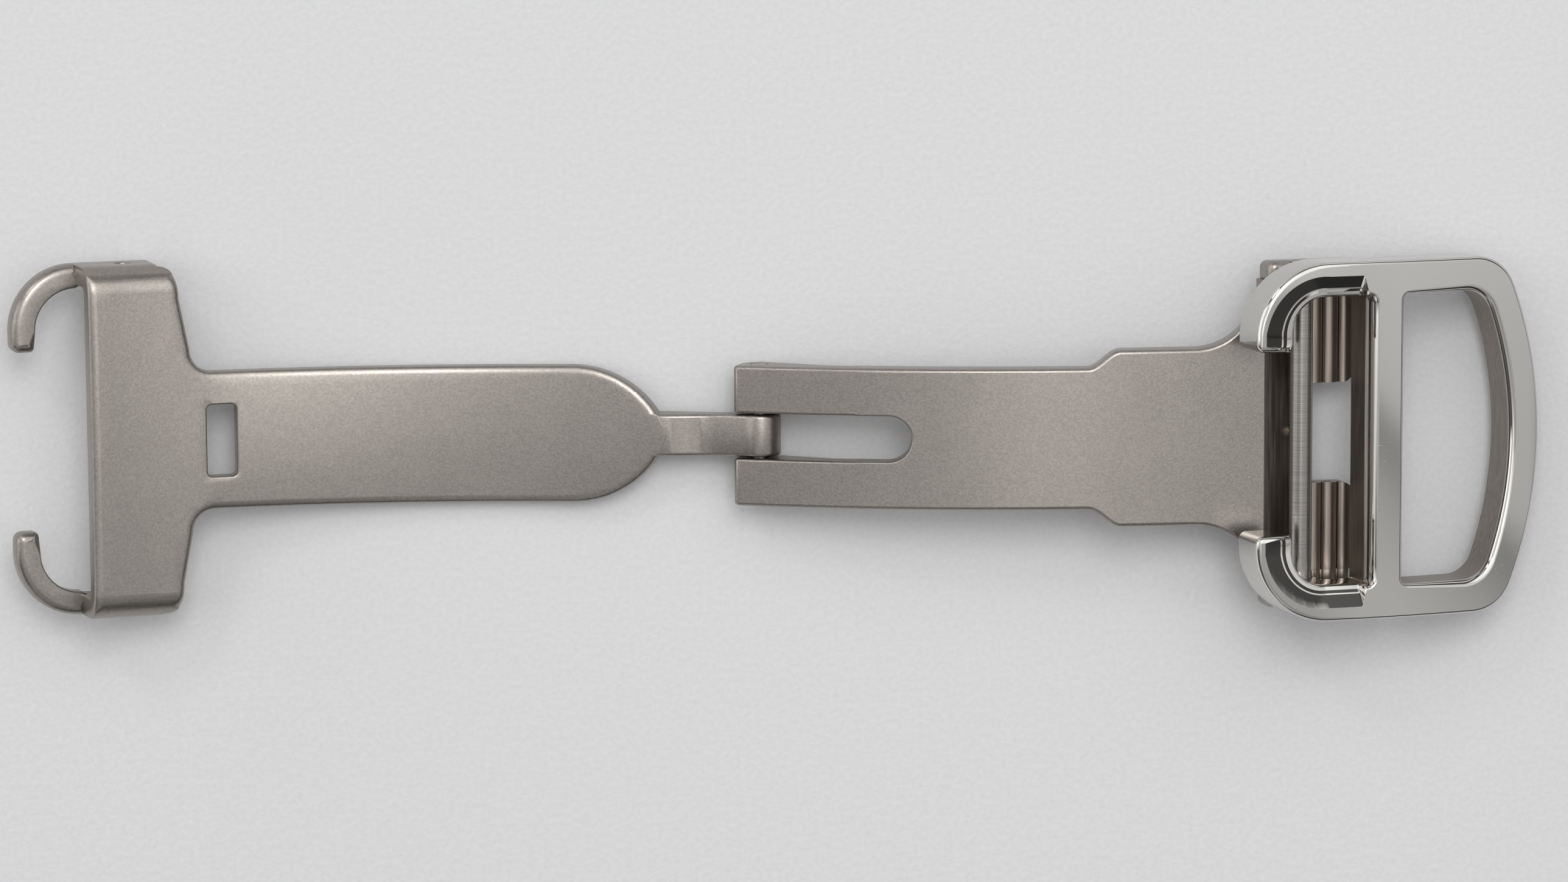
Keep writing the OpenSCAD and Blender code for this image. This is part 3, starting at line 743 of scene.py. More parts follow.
def inner_sheet(stack, blades, head):
    """The inner blade and the strap head as the bent sheet that they are: cut flat, folded and curved."""
    r, bend_r = stack.inner_in_r, head.wall_bend_r
    near, far = (turn * r for turn in stack.head_turns(head))
    bend_y, bend_l = head.head_w / 2 - bend_r, pi / 2 * bend_r
    claw_out_r = r + head.claw_drop + head.claw_t
    wall_l = claw_out_r - r - bend_r
    outline = inner_outline(stack, blades, head, near, far, bend_y, bend_y + bend_l + wall_l)

    def width(p):
        beside = abs(p[1]) > bend_y + bend_l / 2
        if p[0] > far - 0.01 and not beside:
            return head.end_edge
        if abs(p[1]) < blades.tongue_w / 2 and p[0] < stack.along(blades.tongue_l + 1):
            return 0.03
        return 0.15 if beside else blades.inner_edge

    loops = [edged(outline, width, lambda p: 0.55 * width(p))]
    loops.append(edged(catch_slot(stack, blades), blades.slot_edge))
    # A hole in the sheet is squeezed along it, because the walls stand further out on the curve than its face
    hole_r = (stack.inner_out_r + claw_out_r) / 2
    hole_v = bend_y + bend_l + hole_r - r - bend_r
    middle = (near + far) / 2
    for sign in (-1, 1):
        ring = arc((middle, sign * hole_v), head.bar_hole_d / 2, 0, 345, 23)
        loops.append(edged(hole([(middle + (x - middle) * (r / hole_r), y) for x, y in ring]), 0.08))
    bm = slab(loops, 0, blades.inner_t, blades.under_edge, steps=5)
    sliced(bm, 0, stack.along(blades.tongue_l) + 0.5, far - 0.5, 0.8)
    sliced(bm, 1, -bend_y + 0.6, bend_y - 0.6, 0.6)
    for start, end in ((-bend_y - bend_l, -bend_y), (bend_y, bend_y + bend_l)):
        sliced(bm, 1, start, end, bend_l / 10)

    def place(s, v, t):
        """Where a point at s along, v across and t through the flat sheet comes to lie."""
        depth, over = blades.inner_t - t, abs(v) - bend_y
        head_share = smooth_share(s, near - 4, near)
        slope = blades.inner_crown * (4 / blades.inner_w ** 2 * (1 - head_share) + head_share / bend_y ** 2)
        fall = slope * min(abs(v), bend_y) ** 2 * t / blades.inner_t
        if over <= 0:
            y, radius = abs(v), r + depth + fall
        elif over < bend_l:
            turn = over / bend_r
            y = bend_y + (bend_r - depth) * sin(turn)
            radius = r + bend_r - (bend_r - depth) * cos(turn) + fall
        else:
            y, radius = head.head_w / 2 - depth, r + bend_r + over - bend_l
            radius += fall * (1 - (over - bend_l) / wall_l)
        return stack.inner(s / r, 0, y if v > 0 else -y, radius)

    return placed(bm, place)


def claw(stack, head, side):
    """One of the two hooks that hold the strap's fixed end."""
    bend_y = head.head_w / 2 - head.claw_r
    inner_r = head.claw_r - head.claw_w
    tip_y = head.claw_gap / 2 - bend_y
    outer_c, inner_c, root = head.claw_tip_r, 0.3, 0.15
    points = arc((0, 0), head.claw_r, 90, 0, 28)
    points += arc((head.claw_r - outer_c, tip_y + outer_c), outer_c, 0, -90, 8)
    points += arc((inner_r + inner_c, tip_y + inner_c), inner_c, -90, -180, 6)
    points += arc((0, 0), inner_r, 0, 90, 24)
    points += [(-0.3, inner_r + root), (-0.3, head.claw_r - root)]

    def width(p):
        outwards = hypot(p[0], p[1]) > (head.claw_r + inner_r) / 2
        return head.claw_round if outwards or p[1] < tip_y + outer_c else 0.1

    rows = edged(outside(points), width, lambda p: 0.9 * width(p))
    bm = slab([rows], 0, head.claw_t - TUCK, 0.15, steps=6)
    far_turn = stack.head_turns(head)[1]
    low_r = stack.inner_in_r + head.claw_drop + head.claw_t - TUCK
    return placed(bm, lambda u, y, t: stack.inner(far_turn, u, side * (y + bend_y), low_r - t))


def slope_climb(way):
    """Climb per millimetre of a slope on the tilted frame that leans by SLOPE_LEAN.

    way is the way that the slope faces, in degrees from +X."""
    low, high = 0.0, radians(60)
    for _ in range(30):
        middle = (low + high) / 2
        upright = cos(middle) * cos(FRAME_TILT) - sin(middle) * cos(radians(way)) * sin(FRAME_TILT)
        low, high = (middle, high) if upright > cos(SLOPE_LEAN) else (low, middle)
    return tan(low)


def buckle_half(buckle):
    """Upper half of the frame's outline, from the ring's end to the bar, each corner with its easing.

    An easing is as in Corner, but with a width in place of the spot where the edge simply runs inwards."""
    bar_w, open_y, bar_r = buckle.bar_w, buckle.arm_open_w / 2, buckle.bar_corner_r
    end_c = buckle.ring_open_l + buckle.rim_w - buckle.ring_end_r
    side = buckle.frame_w / 2
    corner_y = side - buckle.ring_corner_r
    corner_x = end_c + sqrt((buckle.ring_end_r - buckle.ring_corner_r) ** 2 - corner_y ** 2)
    blend = degrees(atan2(corner_y, corner_x - end_c))
    ring = arc((end_c, 0), buckle.ring_end_r, 0, blend, 24)
    ring += arc((corner_x, corner_y), buckle.ring_corner_r, blend, 90, 20)[1:]
    rows = [(p, buckle.bevel, buckle.bevel, None) for p in ring]

    tip_end = -buckle.arm_reach - buckle.bar_reach - bar_w
    bend = (tip_end + buckle.arm_bend_r, side - buckle.arm_bend_r)
    for p in line((corner_x, side), (bend[0], side), 16) + arc(bend, buckle.arm_bend_r, 90, 180, 48):
        width = buckle.bevel + (buckle.crest_r - buckle.bevel) * smooth_share(bend[0] + 2.0 - p[0], 0, 4.0)
        rows.append((p, width, width, None))

    tip_y, c = buckle.arm_gap / 2, buckle.tip_corner_r
    crest_y = tip_y + buckle.tip_edge
    crest = (tip_end + buckle.crest_r, crest_y)
    for p in arc((tip_end + c, tip_y + c), c, 180, 270, 12):
        rows.append((p, crest, buckle.crest_r, None))
    inner_x = tip_end + buckle.arm_w
    valley = (inner_x - buckle.inner_slope, crest_y)
    for i, p in enumerate(arc((inner_x - c, tip_y + c), c, 270, 360, 12)):
        rows.append((p, valley, buckle.foot_h, (slope_climb(0), smooth_share(i, 0, 8))))

    inner_r = buckle.arm_bend_r - buckle.arm_w
    hollow = (inner_x + inner_r, open_y - inner_r)
    bend_steps = 40
    for i, p in enumerate(arc(hollow, inner_r, 180, 90, bend_steps)):
        width = buckle.inner_slope + (buckle.mid_slope - buckle.inner_slope) * (i / bend_steps) ** 0.8
        rows.append((p, width, buckle.foot_h, (slope_climb(90 * i / bend_steps), 1.0)))
    run_end = (-bar_w - bar_r, open_y)
    for p in line((hollow[0], open_y), run_end, 30):
        share = smooth_share(p[0], run_end[0] - 0.3, run_end[0] + 0.02)
        width = buckle.mid_slope + (buckle.bar_slope - buckle.mid_slope) * share
        drop = buckle.foot_h + (buckle.bar_drop - buckle.foot_h) * share
        rows.append((p, width, drop, (slope_climb(90), 1 - share ** 3)))
    bar = arc((-bar_w - bar_r, open_y - bar_r), bar_r, 90, 0, 12)
    bar += line(bar[-1], (-bar_w, 0), 12) + [(-bar_w, 0)]
    return rows + [(p, buckle.bar_slope, buckle.bar_drop, None) for p in bar]


def buckle_outline(buckle):
    """The frame's whole outline: a crest and a hollowed slope on the arms and a plain bevel elsewhere."""
    rows = buckle_half(buckle)
    for p, width, drop, scoop in rows[::-1]:
        spot = (width[0], -width[1]) if isinstance(width, tuple) else width
        rows.append(((p[0], -p[1]), spot, drop, scoop))
    rows = [row for i, row in enumerate(rows) if (Vector(row[0]) - Vector(rows[i - 1][0])).length > SAME]
    if signed_area([row[0] for row in rows]) < 0:
        rows.reverse()
    corners = []
    for (p, width, drop, scoop), step in zip(rows, directions([row[0] for row in rows])):
        spot = width if isinstance(width, tuple) else (p[0] + step.x * width, p[1] + step.y * width)
        corners.append(Corner(p, spot, drop, scoop))
    return corners


def ring_hole(buckle):
    """The ring's opening, between the strap bar and the rounded end."""
    half_w, end_r = buckle.ring_open_w / 2, buckle.ring_end_r - buckle.rim_w
    end_c = buckle.ring_open_l - buckle.ring_end_r + buckle.rim_w
    far_r, near_r = buckle.ring_open_corner_r, buckle.bar_corner_r
    corner_y = half_w - far_r
    corner_x = end_c + sqrt((end_r - far_r) ** 2 - corner_y ** 2)
    blend = degrees(atan2(corner_y, corner_x - end_c))
    half = arc((end_c, 0), end_r, 0, blend, 24) + arc((corner_x, corner_y), far_r, blend, 90, 14)[1:]
    half += arc((near_r, half_w - near_r), near_r, 90, 180, 12) + [(0, 0)]
    return hole(mirrored(half))


def buckle_body(stack, buckle):
    """The polished frame, one curved plate with ring, bar and sloped arms, its angle and its upper radius."""
    in_r = stack.pin_r + buckle.frame_rise
    out_r = in_r + buckle.frame_t
    turn = stack.pin_turn + (buckle.bar_reach + buckle.bar_w) / out_r
    # The opening's bevel widens from the bar to the ring's end
    opening = edged(ring_hole(buckle), lambda p: buckle.bevel + 0.16 * smooth_share(p[0], 0.5, 4))
    bm = slab([buckle_outline(buckle), opening], in_r, out_r, 0.18, steps=len(SCOOP) - 1, hole_wall=MILLED)
    start = -buckle.arm_reach - buckle.bar_reach - buckle.bar_w
    sliced(bm, 0, start + 0.4, buckle.ring_open_l + buckle.rim_w - 0.4, 0.6)
    return placed(bm, lambda u, y, r: stack.outer(turn, u, y, sqrt(r * r - u * u))), turn, out_r


def strap_bar(stack, buckle, turn, out_r):
    """The milled lower part of the bar that the strap loops round, its near shoulder rounded."""
    near, far, low = -buckle.bar_w - buckle.bar_lip, 2 * TUCK, -buckle.bar_depth
    top, shoulder_r, foot_r = low + buckle.bar_satin_h, buckle.bar_lip + 0.05, 0.15
    profile = [(far, low), (far, top)] + arc((near + shoulder_r, top - shoulder_r), shoulder_r, 90, 180, 12)
    profile += arc((near + foot_r, low + foot_r), foot_r, 180, 270, 5)
    half_w = buckle.arm_open_w / 2 - TUCK
    bm = slab([edged(outside(profile), SEAM_EDGE)], -half_w, half_w, SEAM_EDGE, material=MILLED)
    return placed(bm, lambda u, w, y: stack.outer(turn, u, y, out_r + w))


def frame_lug(stack, blades, base, buckle, side):
    """The lug under an arm that turns on the frame pin."""
    r, top, edge = base.ear_r, buckle.frame_rise + 0.3, 0.1
    profile = arc((0, 0), r, 180, 360, 24) + [(r, top), (-r, top)]
    loops = [edged(outside(profile), edge), pin_hole(base.frame_pin_d, blades.pin_play, 0.04)]
    outer_y = base.base_w / 2 - base.ear_t - buckle.lug_gap
    return placed(slab(loops, outer_y - buckle.lug_t, outer_y, edge, steps=12), stack.beside_pin(side))


def pin_shell(centre, diameter, half_l):
    """A turned pin with chamfered and slightly crowned ends."""
    r, chamfer, crown = diameter / 2, 0.08, 0.03
    half_l -= 0.02
    profile = [(-half_l - crown, 0.0), (-half_l - crown * 0.8, r * 0.45), (-half_l, r - chamfer)]
    profile += [(-half_l + chamfer, r)] + [(-half_l * i / 10, r) for i in range(9, 0, -1)]
    profile += [(0, r)] + [(-y, radius) for y, radius in reversed(profile)]
    return placed(turned(profile), lambda x, y, z: centre + Vector((x, y, z)) * MM)


# Materials


def add_node(tree, kind, inputs=None, **settings):
    """Adds a node with its settings, and gives each input a value or the socket that feeds it."""
    made = tree.nodes.new(kind)
    for key, value in settings.items():
        setattr(made, key, value)
    for key, value in (inputs or {}).items():
        if isinstance(value, bpy.types.NodeSocket):
            tree.links.new(value, made.inputs[key])
        else:
            made.inputs[key].default_value = value
    return made


def new_material(name, base, roughness):
    """A metal with its shader and object coordinates in millimetres."""
    material = bpy.data.materials.new(name)
    material.use_nodes = True
    tree = material.node_tree
    tree.nodes.clear()
    place = add_node(tree, "ShaderNodeTexCoord").outputs["Object"]
    scale = add_node(tree, "ShaderNodeMapping", {"Vector": place, "Scale": (1 / MM,) * 3})
    metal = {"Base Color": (*base, 1.0), "Metallic": 1.0, "Roughness": roughness}
    shader = add_node(tree, "ShaderNodeBsdfPrincipled", metal)
    add_node(tree, "ShaderNodeOutputMaterial", {"Surface": shader.outputs["BSDF"]})
    return material, tree, shader, scale.outputs["Vector"]


def vary_colour(tree, shader, factor, base, low, high, start=0.3, end=0.7):
    """Lets the colour go from low to high times its base as a factor goes from start to end."""
    share = add_node(tree, "ShaderNodeMapRange", {"Value": factor, "From Min": start, "From Max": end})
    dark, pale = (*(Vector(base) * low), 1.0), (*(Vector(base) * high), 1.0)
    links = {0: share.outputs["Result"], 6: dark, 7: pale}
    tone = add_node(tree, "ShaderNodeMix", links, data_type="RGBA")
    tree.links.new(tone.outputs[2], shader.inputs["Base Color"])


def vary_roughness(tree, shader, factor, low, high, start=0.3, end=0.7):
    """Lets the roughness go from low to high as a factor goes from start to end."""
    made = add_node(tree, "ShaderNodeMapRange", {
        "Value": factor, "From Min": start, "From Max": end, "To Min": low, "To Max": high,
    })
    tree.links.new(made.outputs["Result"], shader.inputs["Roughness"])


def tool_marks(tree, place, per_mm):
    """Fine marks that a tool leaves, so many per millimetre along each axis."""
    stretched = add_node(tree, "ShaderNodeMapping", {"Vector": place, "Scale": per_mm}).outputs["Vector"]
    marks = add_node(tree, "ShaderNodeTexNoise", {"Vector": stretched, "Scale": 1.0, "Detail": 3.0})
    return marks.outputs["Fac"]


def blasted_steel(colours):
    """Bead-blasted stainless steel: a soft sheen broken by fine grains that glint where they face a light."""
    material, tree, shader, place = new_material("bead_blasted_steel", colours.satin, 0.36)
    # The dents of the beads are about 0.05 mm wide, and are drawn wider so that they show
    grain_mm, cloud_mm = 0.09, 3.5
    grain = add_node(tree, "ShaderNodeTexVoronoi", {"Vector": place, "Scale": 1 / grain_mm})
    speck = add_node(tree, "ShaderNodeTexWhiteNoise", {"Vector": grain.outputs["Position"]}).outputs["Value"]
    vary_colour(tree, shader, speck, colours.satin, 0.87, 1.07, 0.0, 1.0)
    cloud = add_node(tree, "ShaderNodeTexNoise", {"Vector": place, "Scale": 1 / cloud_mm, "Detail": 3.0})
    vary_roughness(tree, shader, cloud.outputs["Fac"], 0.29, 0.36)
    bump = add_node(tree, "ShaderNodeBump", {"Height": speck, "Strength": 0.42, "Distance": 0.005 * MM})
    tree.links.new(bump.outputs["Normal"], shader.inputs["Normal"])
    return material


def polished_steel(colours):
    """Mirror-polished stainless steel: sharp reflections with the odd hairline scratch from wear."""
    material, tree, shader, place = new_material("mirror_polished_steel", colours.polish, 0.07)
    slanted = add_node(tree, "ShaderNodeMapping", {
        "Vector": place, "Rotation": (0.3, 0.2, 0.7), "Scale": (0.6, 14, 6),
    })
    hairs = add_node(tree, "ShaderNodeTexNoise", {
        "Vector": slanted.outputs["Vector"], "Scale": 0.9, "Detail": 2.0,
    })
    vary_roughness(tree, shader, hairs.outputs["Fac"], 0.04, 0.16, 0.68, 0.74)
    return material


def machined_steel(colours):
    """Milled steel inside the frame, left unpolished: dull, with tool marks along the clasp's width."""
    material, tree, shader, place = new_material("milled_steel", colours.machined, 0.34)
    marks = tool_marks(tree, place, (9, 0.25, 9))
    vary_colour(tree, shader, marks, colours.machined, 0.7, 1.15)
    vary_roughness(tree, shader, marks, 0.28, 0.42)
    return material


def turned_steel(colours):
    """Turned steel of the pins: a bright satin with fine rings from the lathe."""
    material, tree, shader, place = new_material("turned_steel", colours.turned, 0.24)
    vary_colour(tree, shader, tool_marks(tree, place, (0.4, 14, 0.4)), colours.turned, 0.85, 1.1)
    return material


def shaded_grip_steel(colours):
    """Milled steel of the grips with tool marks; its brownish, slightly dark tone is painted shade."""
    material, tree, shader, place = new_material("milled_grip_steel", colours.ribbed, 0.3)
    # Painted shade: the grips' brownish base colour, varied by the tool marks
    vary_colour(tree, shader, tool_marks(tree, place, (10, 0.3, 10)), colours.ribbed, 0.75, 1.15)
    return material


def drawing_paper(colours):
    """Uncoated off-white paper: matt, with a soft tooth that throws tiny shadows."""
    material, tree, shader, place = new_material("drawing_paper", colours.paper, 0.95)
    shader.inputs["Metallic"].default_value = 0.0
    tooth_mm = 0.3
    noise = add_node(tree, "ShaderNodeTexNoise", {"Vector": place, "Scale": 1 / tooth_mm, "Detail": 3.0})
    tooth = noise.outputs["Fac"]
    vary_colour(tree, shader, tooth, colours.paper, 0.97, 1.03)
    bump = add_node(tree, "ShaderNodeBump", {"Height": tooth, "Strength": 0.55, "Distance": 0.06 * MM})
    tree.links.new(bump.outputs["Normal"], shader.inputs["Normal"])
    return material


FINISHES = {
    "bead_blasted_steel": blasted_steel, "mirror_polished_steel": polished_steel,
    "milled_steel": machined_steel, "turned_steel": turned_steel, "milled_grip_steel": shaded_grip_steel,
    "drawing_paper": drawing_paper,
}


def finish(name):
    """A finish by name, made when it is first asked for."""
    return bpy.data.materials.get(name) or FINISHES[name](bpy.context.scene.clasp_colours)


# Operators


def sizes(context, *groups):
    """The sizes of some property groups."""
    return [millimetres(getattr(context.scene, "clasp_" + group)) for group in groups]


class CLASP_OT_outer_blade(bpy.types.Operator):
    """Builds the outer blade with its fork, flare, floor and ears"""

    bl_idname = "clasp.outer_blade"
    bl_label = "Outer Blade"

    def execute(self, context):
        blades, base = sizes(context, "blades", "base")
        stack = Stack(blades)
        shells = [outer_plate(stack, blades, base), floor_ramp(stack, base)]
        for side in (-1, 1):
            shells += [fork_arm(stack, blades, side), ear(stack, base, side), side_arm(stack, base, side)]
        finishes = ("bead_blasted_steel", "milled_steel", "milled_grip_steel")
        make_piece(
            "outer_blade_body", shells, finishes, "outer_half", "outer_blade",
            axis=stack.outer(0, 0, 0, 0)
        )
        return {"FINISHED"}


class CLASP_OT_inner_blade(bpy.types.Operator):
    """Builds the inner blade with its tongue, bent strap head and claws"""

    bl_idname = "clasp.inner_blade"
    bl_label = "Inner Blade"

    def execute(self, context):
        blades, head = sizes(context, "blades", "head")
        stack = Stack(blades)
        shells = [inner_sheet(stack, blades, head), knuckle_and_tongue(stack, blades)]
        shells += [claw(stack, head, side) for side in (-1, 1)]
        finishes = ("bead_blasted_steel",)
        make_piece("inner_blade_body", shells, finishes, "inner_half", "inner_blade")
        return {"FINISHED"}


class CLASP_OT_buckle_frame(bpy.types.Operator):
    """Builds the polished buckle frame with its strap bar and lugs"""

    bl_idname = "clasp.buckle_frame"
    bl_label = "Buckle Frame"

    def execute(self, context):
        blades, base, buckle = sizes(context, "blades", "base", "buckle")
        stack = Stack(blades)
        body, turn, out_r = buckle_body(stack, buckle)
        shells = [body, strap_bar(stack, buckle, turn, out_r)]
        shells += [frame_lug(stack, blades, base, buckle, side) for side in (-1, 1)]
        finishes = ("mirror_polished_steel", "milled_steel")
        # A low crease angle gives the dark reflection on the arms' slope an even edge
        make_piece(
            "buckle_frame_body", shells, finishes, "strap_frame", "buckle_frame",
            axis=stack.outer(0, 0, 0, 0), crease=9
        )
        return {"FINISHED"}


class CLASP_OT_pins(bpy.types.Operator):
    """Builds the hinge pin and the frame pin as turned pins"""

    bl_idname = "clasp.pins"
    bl_label = "Pins"

    def execute(self, context):
        blades, base = sizes(context, "blades", "base")
        pins = (
            ("hinge_pin", HINGE, blades.hinge_pin_d, blades.outer_w),
            ("frame_pin", PIN, base.frame_pin_d, base.base_w),
        )
        for node, centre, diameter, width in pins:
            shell = pin_shell(centre, diameter, width / 2)
            make_piece(node + "_turned", [shell], ("turned_steel",), "outer_half", node)
        return {"FINISHED"}


# Sums of a grip's node tree, each with its name, its operation and its terms. X, Y and Z are a point's place.
GRIP_SUMS = (
    ("pitch", "DIVIDE", "Length", "Ribs"),
    ("rib radius", "MULTIPLY", "pitch", 0.5),
    ("rib flatness", "DIVIDE", "Rib Height", "rib radius"),
    ("past pitch", "SUBTRACT", "pitch", "Length"),
    ("first rib", "MULTIPLY", "past pitch", 0.5),
    ("top", "MULTIPLY", "Thickness", 0.5),
    # The free corner: at each place along the clasp the pad reaches only as far as the round corner lets it
    ("end", "MULTIPLY", "Length", 0.5),
    ("corner centre", "SUBTRACT", "end", "Corner Radius"),
    ("past centre", "SUBTRACT", "X", "corner centre"),
    ("over", "MAXIMUM", "past centre", 0.0),
    ("over squared", "MULTIPLY", "over", "over"),
    ("radius squared", "MULTIPLY", "Corner Radius", "Corner Radius"),
    ("height squared", "SUBTRACT", "radius squared", "over squared"),
    ("left of it", "MAXIMUM", "height squared", 0.0),
    ("height", "SQRT", "left of it"),
    ("setback", "SUBTRACT", "Corner Radius", "height"),
    ("edge", "MULTIPLY", "Width", -0.5),
    ("limit", "ADD", "edge", "setback"),
    ("cut Y", "MAXIMUM", "Y", "limit"),
)


def grip_tree():
    """Node tree of a grip: a pad with rounded ribs in a row, cut back round its free corner."""
    tree = bpy.data.node_groups.new("Ribbed grip", "GeometryNodeTree")
    lengths = {"Length": 2.4, "Width": 5.45, "Thickness": 0.85, "Rib Height": 0.3, "Corner Radius": 0.8}
    for name, value in lengths.items():
        socket = tree.interface.new_socket(name=name, in_out="INPUT", socket_type="NodeSocketFloat")
        socket.default_value = value
    tree.interface.new_socket(name="Ribs", in_out="INPUT", socket_type="NodeSocketInt").default_value = 3
    tree.interface.new_socket(name="Material", in_out="INPUT", socket_type="NodeSocketMaterial")
    tree.interface.new_socket(name="Geometry", in_out="OUTPUT", socket_type="NodeSocketGeometry")
    group = add_node(tree, "NodeGroupInput").outputs
    spot = add_node(tree, "GeometryNodeInputPosition").outputs[0]
    here = add_node(tree, "ShaderNodeSeparateXYZ", {0: spot}).outputs
    known = {name: group[name] for name in (*lengths, "Ribs")}
    known.update((axis, here[axis]) for axis in "XYZ")
    for name, operation, *terms in GRIP_SUMS:
        inputs = {i: known.get(term, term) for i, term in enumerate(terms)}
        known[name] = add_node(tree, "ShaderNodeMath", inputs, operation=operation).outputs[0]

    size = {0: known["Length"], 1: known["Width"], 2: known["Thickness"]}
    pad = add_node(tree, "GeometryNodeMeshCube", {
        "Size": add_node(tree, "ShaderNodeCombineXYZ", size).outputs[0],
        "Vertices X": 24, "Vertices Y": 60, "Vertices Z": 4,
    })
    bar = add_node(tree, "GeometryNodeMeshCylinder", {
        "Radius": known["rib radius"], "Depth": known["Width"], "Vertices": 32, "Side Segments": 60,
    })
    lying = add_node(tree, "GeometryNodeTransform", {
        "Geometry": bar.outputs["Mesh"], "Rotation": (pi / 2, 0, 0),
    })
    flat = add_node(tree, "ShaderNodeCombineXYZ", {0: 1.0, 1: 1.0, 2: known["rib flatness"]})
    rib = add_node(tree, "GeometryNodeTransform", {
        "Geometry": lying.outputs["Geometry"], "Scale": flat.outputs[0],
    })
    start = add_node(tree, "ShaderNodeCombineXYZ", {0: known["first rib"], 2: known["top"]})
    step = add_node(tree, "ShaderNodeCombineXYZ", {0: known["pitch"]})
    row = add_node(tree, "GeometryNodeMeshLine", {
        "Count": known["Ribs"], "Offset": step.outputs[0], "Start Location": start.outputs[0],
    })
    ribs = add_node(tree, "GeometryNodeInstanceOnPoints", {
        "Points": row.outputs["Mesh"], "Instance": rib.outputs["Geometry"],
    })
    solid = add_node(tree, "GeometryNodeRealizeInstances", {"Geometry": ribs.outputs["Instances"]})
    joined = add_node(tree, "GeometryNodeJoinGeometry")
    tree.links.new(solid.outputs["Geometry"], joined.inputs[0])
    tree.links.new(pad.outputs["Mesh"], joined.inputs[0])
    cut = add_node(tree, "ShaderNodeCombineXYZ", {0: known["X"], 1: known["cut Y"], 2: known["Z"]})
    shaped = add_node(tree, "GeometryNodeSetPosition", {
        "Geometry": joined.outputs[0], "Position": cut.outputs[0],
    })
    painted = add_node(tree, "GeometryNodeSetMaterial", {
        "Geometry": shaped.outputs[0], "Material": group["Material"],
    })
    add_node(tree, "NodeGroupOutput", {"Geometry": painted.outputs[0]})
    return tree


class CLASP_OT_grips(bpy.types.Operator):
    """Builds the two ribbed grips with geometry nodes"""

    bl_idname = "clasp.grips"
    bl_label = "Grips"

    def execute(self, context):
        blades, base = sizes(context, "blades", "base")
        stack = Stack(blades)
        tree = grip_tree()
        inner_y, outer_y = base.grip_gap / 2, base.base_w / 2 - base.side_arm_w
        middle_u, middle_w = base.floor_front_l + base.grip_l / 2, -base.ear_r - base.floor_t / 2
        values = {
            "Length": base.grip_l - 2 * TUCK, "Width": outer_y - inner_y,
            "Thickness": base.floor_t - 2 * TUCK, "Rib Height": base.rib_h,
            "Corner Radius": base.grip_corner_r, "Ribs": base.rib_count,
            "Material": finish("milled_grip_steel"),
        }
        for side, node in ((1, "upper_grip"), (-1, "lower_grip")):
            piece = linked(node + "_ribbed", bpy.data.meshes.new(node + "_ribbed"))
            modifier = piece.modifiers.new("Grip", "NODES")
            modifier.node_group = tree
            for item in tree.interface.items_tree:
                if item.in_out == "INPUT" and item.name in values:
                    modifier[item.identifier] = values[item.name]
            settle(piece)
            bm = bmesh.new()
            bm.from_mesh(piece.data)
            for v in bm.verts:
                u, y, w = v.co
                place_y = side * (y + (inner_y + outer_y) / 2)
                v.co = stack.outer(stack.pin_turn, u + middle_u, place_y, stack.pin_r + w + middle_w)
            bmesh.ops.recalc_face_normals(bm, faces=bm.faces[:])
            for face in bm.faces:
                face.smooth = True
            bm.to_mesh(piece.data)
            bm.free()
            flatten_normals(piece)
            stand_in(piece, "outer_half", node)
        return {"FINISHED"}


class CLASP_OT_catch(bpy.types.Operator):
    """Gives the catch tooth its finish"""

    bl_idname = "clasp.catch"
    bl_label = "Catch"

    def execute(self, context):
        tooth = frame["nodes"]["catch_tooth"]
        tooth.data.materials.clear()
        tooth.data.materials.append(finish("bead_blasted_steel"))
        return {"FINISHED"}


# Light, as grey levels of a white tent round the clasp, each after its place on the way from 0 to 1

# From the paper's level up to straight above: the dark gap in the tent, its left wall and the wall's door
RIM = ((0.0, 0.8), (0.04, 0.75))
GAP = (*RIM, (0.075, 0.04), (0.42, 0.05), (0.5, 0.5), (0.72, 0.54), (0.9, 0.5), (1, 0.52))
LEFT_WALL = (*RIM, (0.2, 0.8), (0.42, 1.2), (0.66, 1.3), (0.8, 0.75), (0.9, 0.5), (1, 0.46))
DOOR = (*RIM, (0.2, 0.7), (0.3, 0.7), (0.42, 0.08), (0.8, 0.08), (0.9, 0.4), (1, 0.46))
DOOR_SHARE = ((0.0, 0.0), (0.4, 0.0), (0.5, 1.0))
# Across the tent: the seam in its right side, which shows as the soft dark band across the polished frame
SEAM = (
    (0.0, 1.0), (0.323, 0.94), (0.397, 0.845), (0.463, 0.7), (0.495, 0.57), (0.53, 0.49), (0.544, 0.5),
    (0.575, 0.84), (0.6, 1.0),
)
# Across the tent: more light from behind than from the front, and how much of that holds from left to right
LEAN = ((0.0, 0.55), (0.35, 0.72), (0.45, 0.78), (0.51, 0.86), (0.56, 1.05), (0.625, 1.6), (0.75, 2.1))
LEAN_SHARE = ((0.0, 0.4), (0.1, 0.9), (0.2, 1.0), (0.54, 1.0), (0.62, 0.3))

# Soft boxes that face the clasp: name, place and size in metres, and power in watts
SOFT_BOXES = (
    ("Key soft box", (0.02, 0.17, 0.37), (0.16, 0.16), 0.415),
    ("Front soft box", (0.085, 0.045, 0.33), (0.09, 0.05), 0.02),
    ("Low soft box", (0.026, -0.008, 0.16), (0.045, 0.03), 0.0038),
    ("Small soft box", (-0.16, 0.24, 0.22), (0.07, 0.07), 0.1),
)


